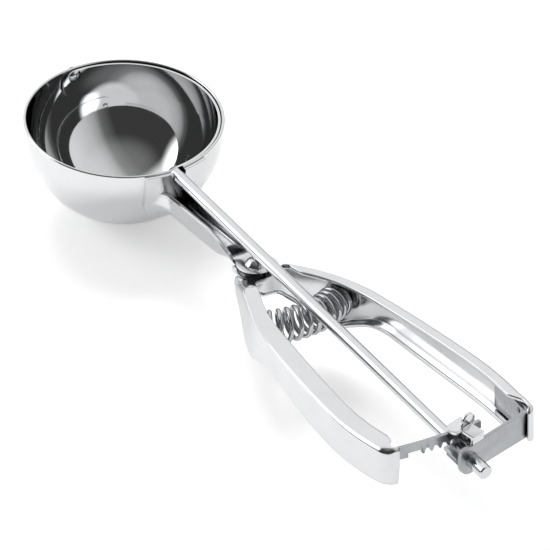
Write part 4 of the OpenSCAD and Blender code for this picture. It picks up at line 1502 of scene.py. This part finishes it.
world = bpy.data.worlds.new("studio")
bpy.context.scene.world = world
world.use_nodes = True
room = world.node_tree
room.nodes.clear()
path = add_node(room, "ShaderNodeLightPath").outputs
direction = add_node(room, "ShaderNodeTexCoord").outputs["Generated"]
axes = add_node(room, "ShaderNodeSeparateXYZ", {"Vector": direction}).outputs
window_gap = add_node(room, "ShaderNodeVectorMath", {0: direction, 1: WINDOW_AT}, operation="DISTANCE")
known = {"X": axes["X"], "Z": axes["Z"], "window gap": window_gap.outputs["Value"],
         "glossy": path["Is Glossy Ray"], "clear": path["Is Transmission Ray"]}

wall_side = add_node(room, "ShaderNodeMapRange", {"Value": axes["Y"], "From Min": -1.0, "From Max": 1.0})
shade = add_node(room, "ShaderNodeValToRGB", {"Fac": wall_side.outputs[0]})
ramp = shade.color_ramp
for end, (position, grey) in zip(ramp.elements, (WALLS[0], WALLS[-1])):
    end.position = position
    end.color = (grey, grey, grey, 1)
for position, grey in WALLS[1:-1]:
    ramp.elements.new(position).color = (grey, grey, grey, 1)
known["walls"] = shade.outputs["Color"]

for name, (goes_by, start, end, before, after) in FADES.items():
    fade = add_node(room, "ShaderNodeMapRange", {
        "Value": known[goes_by], "From Min": start, "From Max": end, "To Min": before, "To Max": after},
        interpolation_type="SMOOTHSTEP")
    known[name] = fade.outputs[0]
calculate(room, known, (
    ("not far end", "SUBTRACT", 1.0, "far end"),
    ("side walls", "MULTIPLY", "walls", "not far end"),
    ("all walls", "ADD", "side walls", "far end"),
    ("with ceiling", "ADD", "all walls", "overhead"),
    ("with window", "ADD", "with ceiling", "window"),
    ("band", "MAXIMUM", "open end", "over the band"),
    ("seen", "MULTIPLY", "with window", "band"),
    ("mirrors", "MAXIMUM", "glossy", "clear")))

# plain light for matt surfaces, the studio for reflections, and white for the camera
PLAIN_LIGHT = 0.55
plain, studio, shown = [
    add_node(room, "ShaderNodeBackground", {"Color": WHITE, "Strength": strength}).outputs[0]
    for strength in (PLAIN_LIGHT, known["seen"], 1.0)]
first = add_node(room, "ShaderNodeMixShader", {0: known["mirrors"], 1: plain, 2: studio}).outputs[0]
second = add_node(room, "ShaderNodeMixShader", {0: path["Is Camera Ray"], 1: first, 2: shown}).outputs[0]
add_node(room, "ShaderNodeOutputWorld", {"Surface": second})
print("the window shines from", WINDOW_AT)

# %% [markdown]
# One soft lamp casts the faint shadow in front of the scoop, and a weaker one the shadow to its
# right. Reflections don't see them, because the studio holds all that a mirror should show.

# %% Lights


def softbox(name, at, towards, size, power):
    """A rectangular soft light that shines from one point towards another."""
    lamp = bpy.data.lights.new(name, "AREA")
    lamp.shape = "RECTANGLE"
    lamp.size, lamp.size_y = size
    lamp.energy = power
    made = bpy.data.objects.new(name, lamp)
    made.location = at
    made.rotation_euler = (Vector(towards) - Vector(at)).to_track_quat("-Z", "Y").to_euler()
    made.visible_glossy = False
    bpy.context.scene.collection.objects.link(made)


softbox("key", at=(-0.7, 0.3, 1.1), towards=(0.05, 0, 0), size=(0.9, 0.7), power=11)
softbox("side", at=(-0.6, -0.7, 0.5), towards=(0.08, 0, 0), size=(0.5, 0.5), power=4)
print("lights:", [lamp.name for lamp in bpy.data.lights])
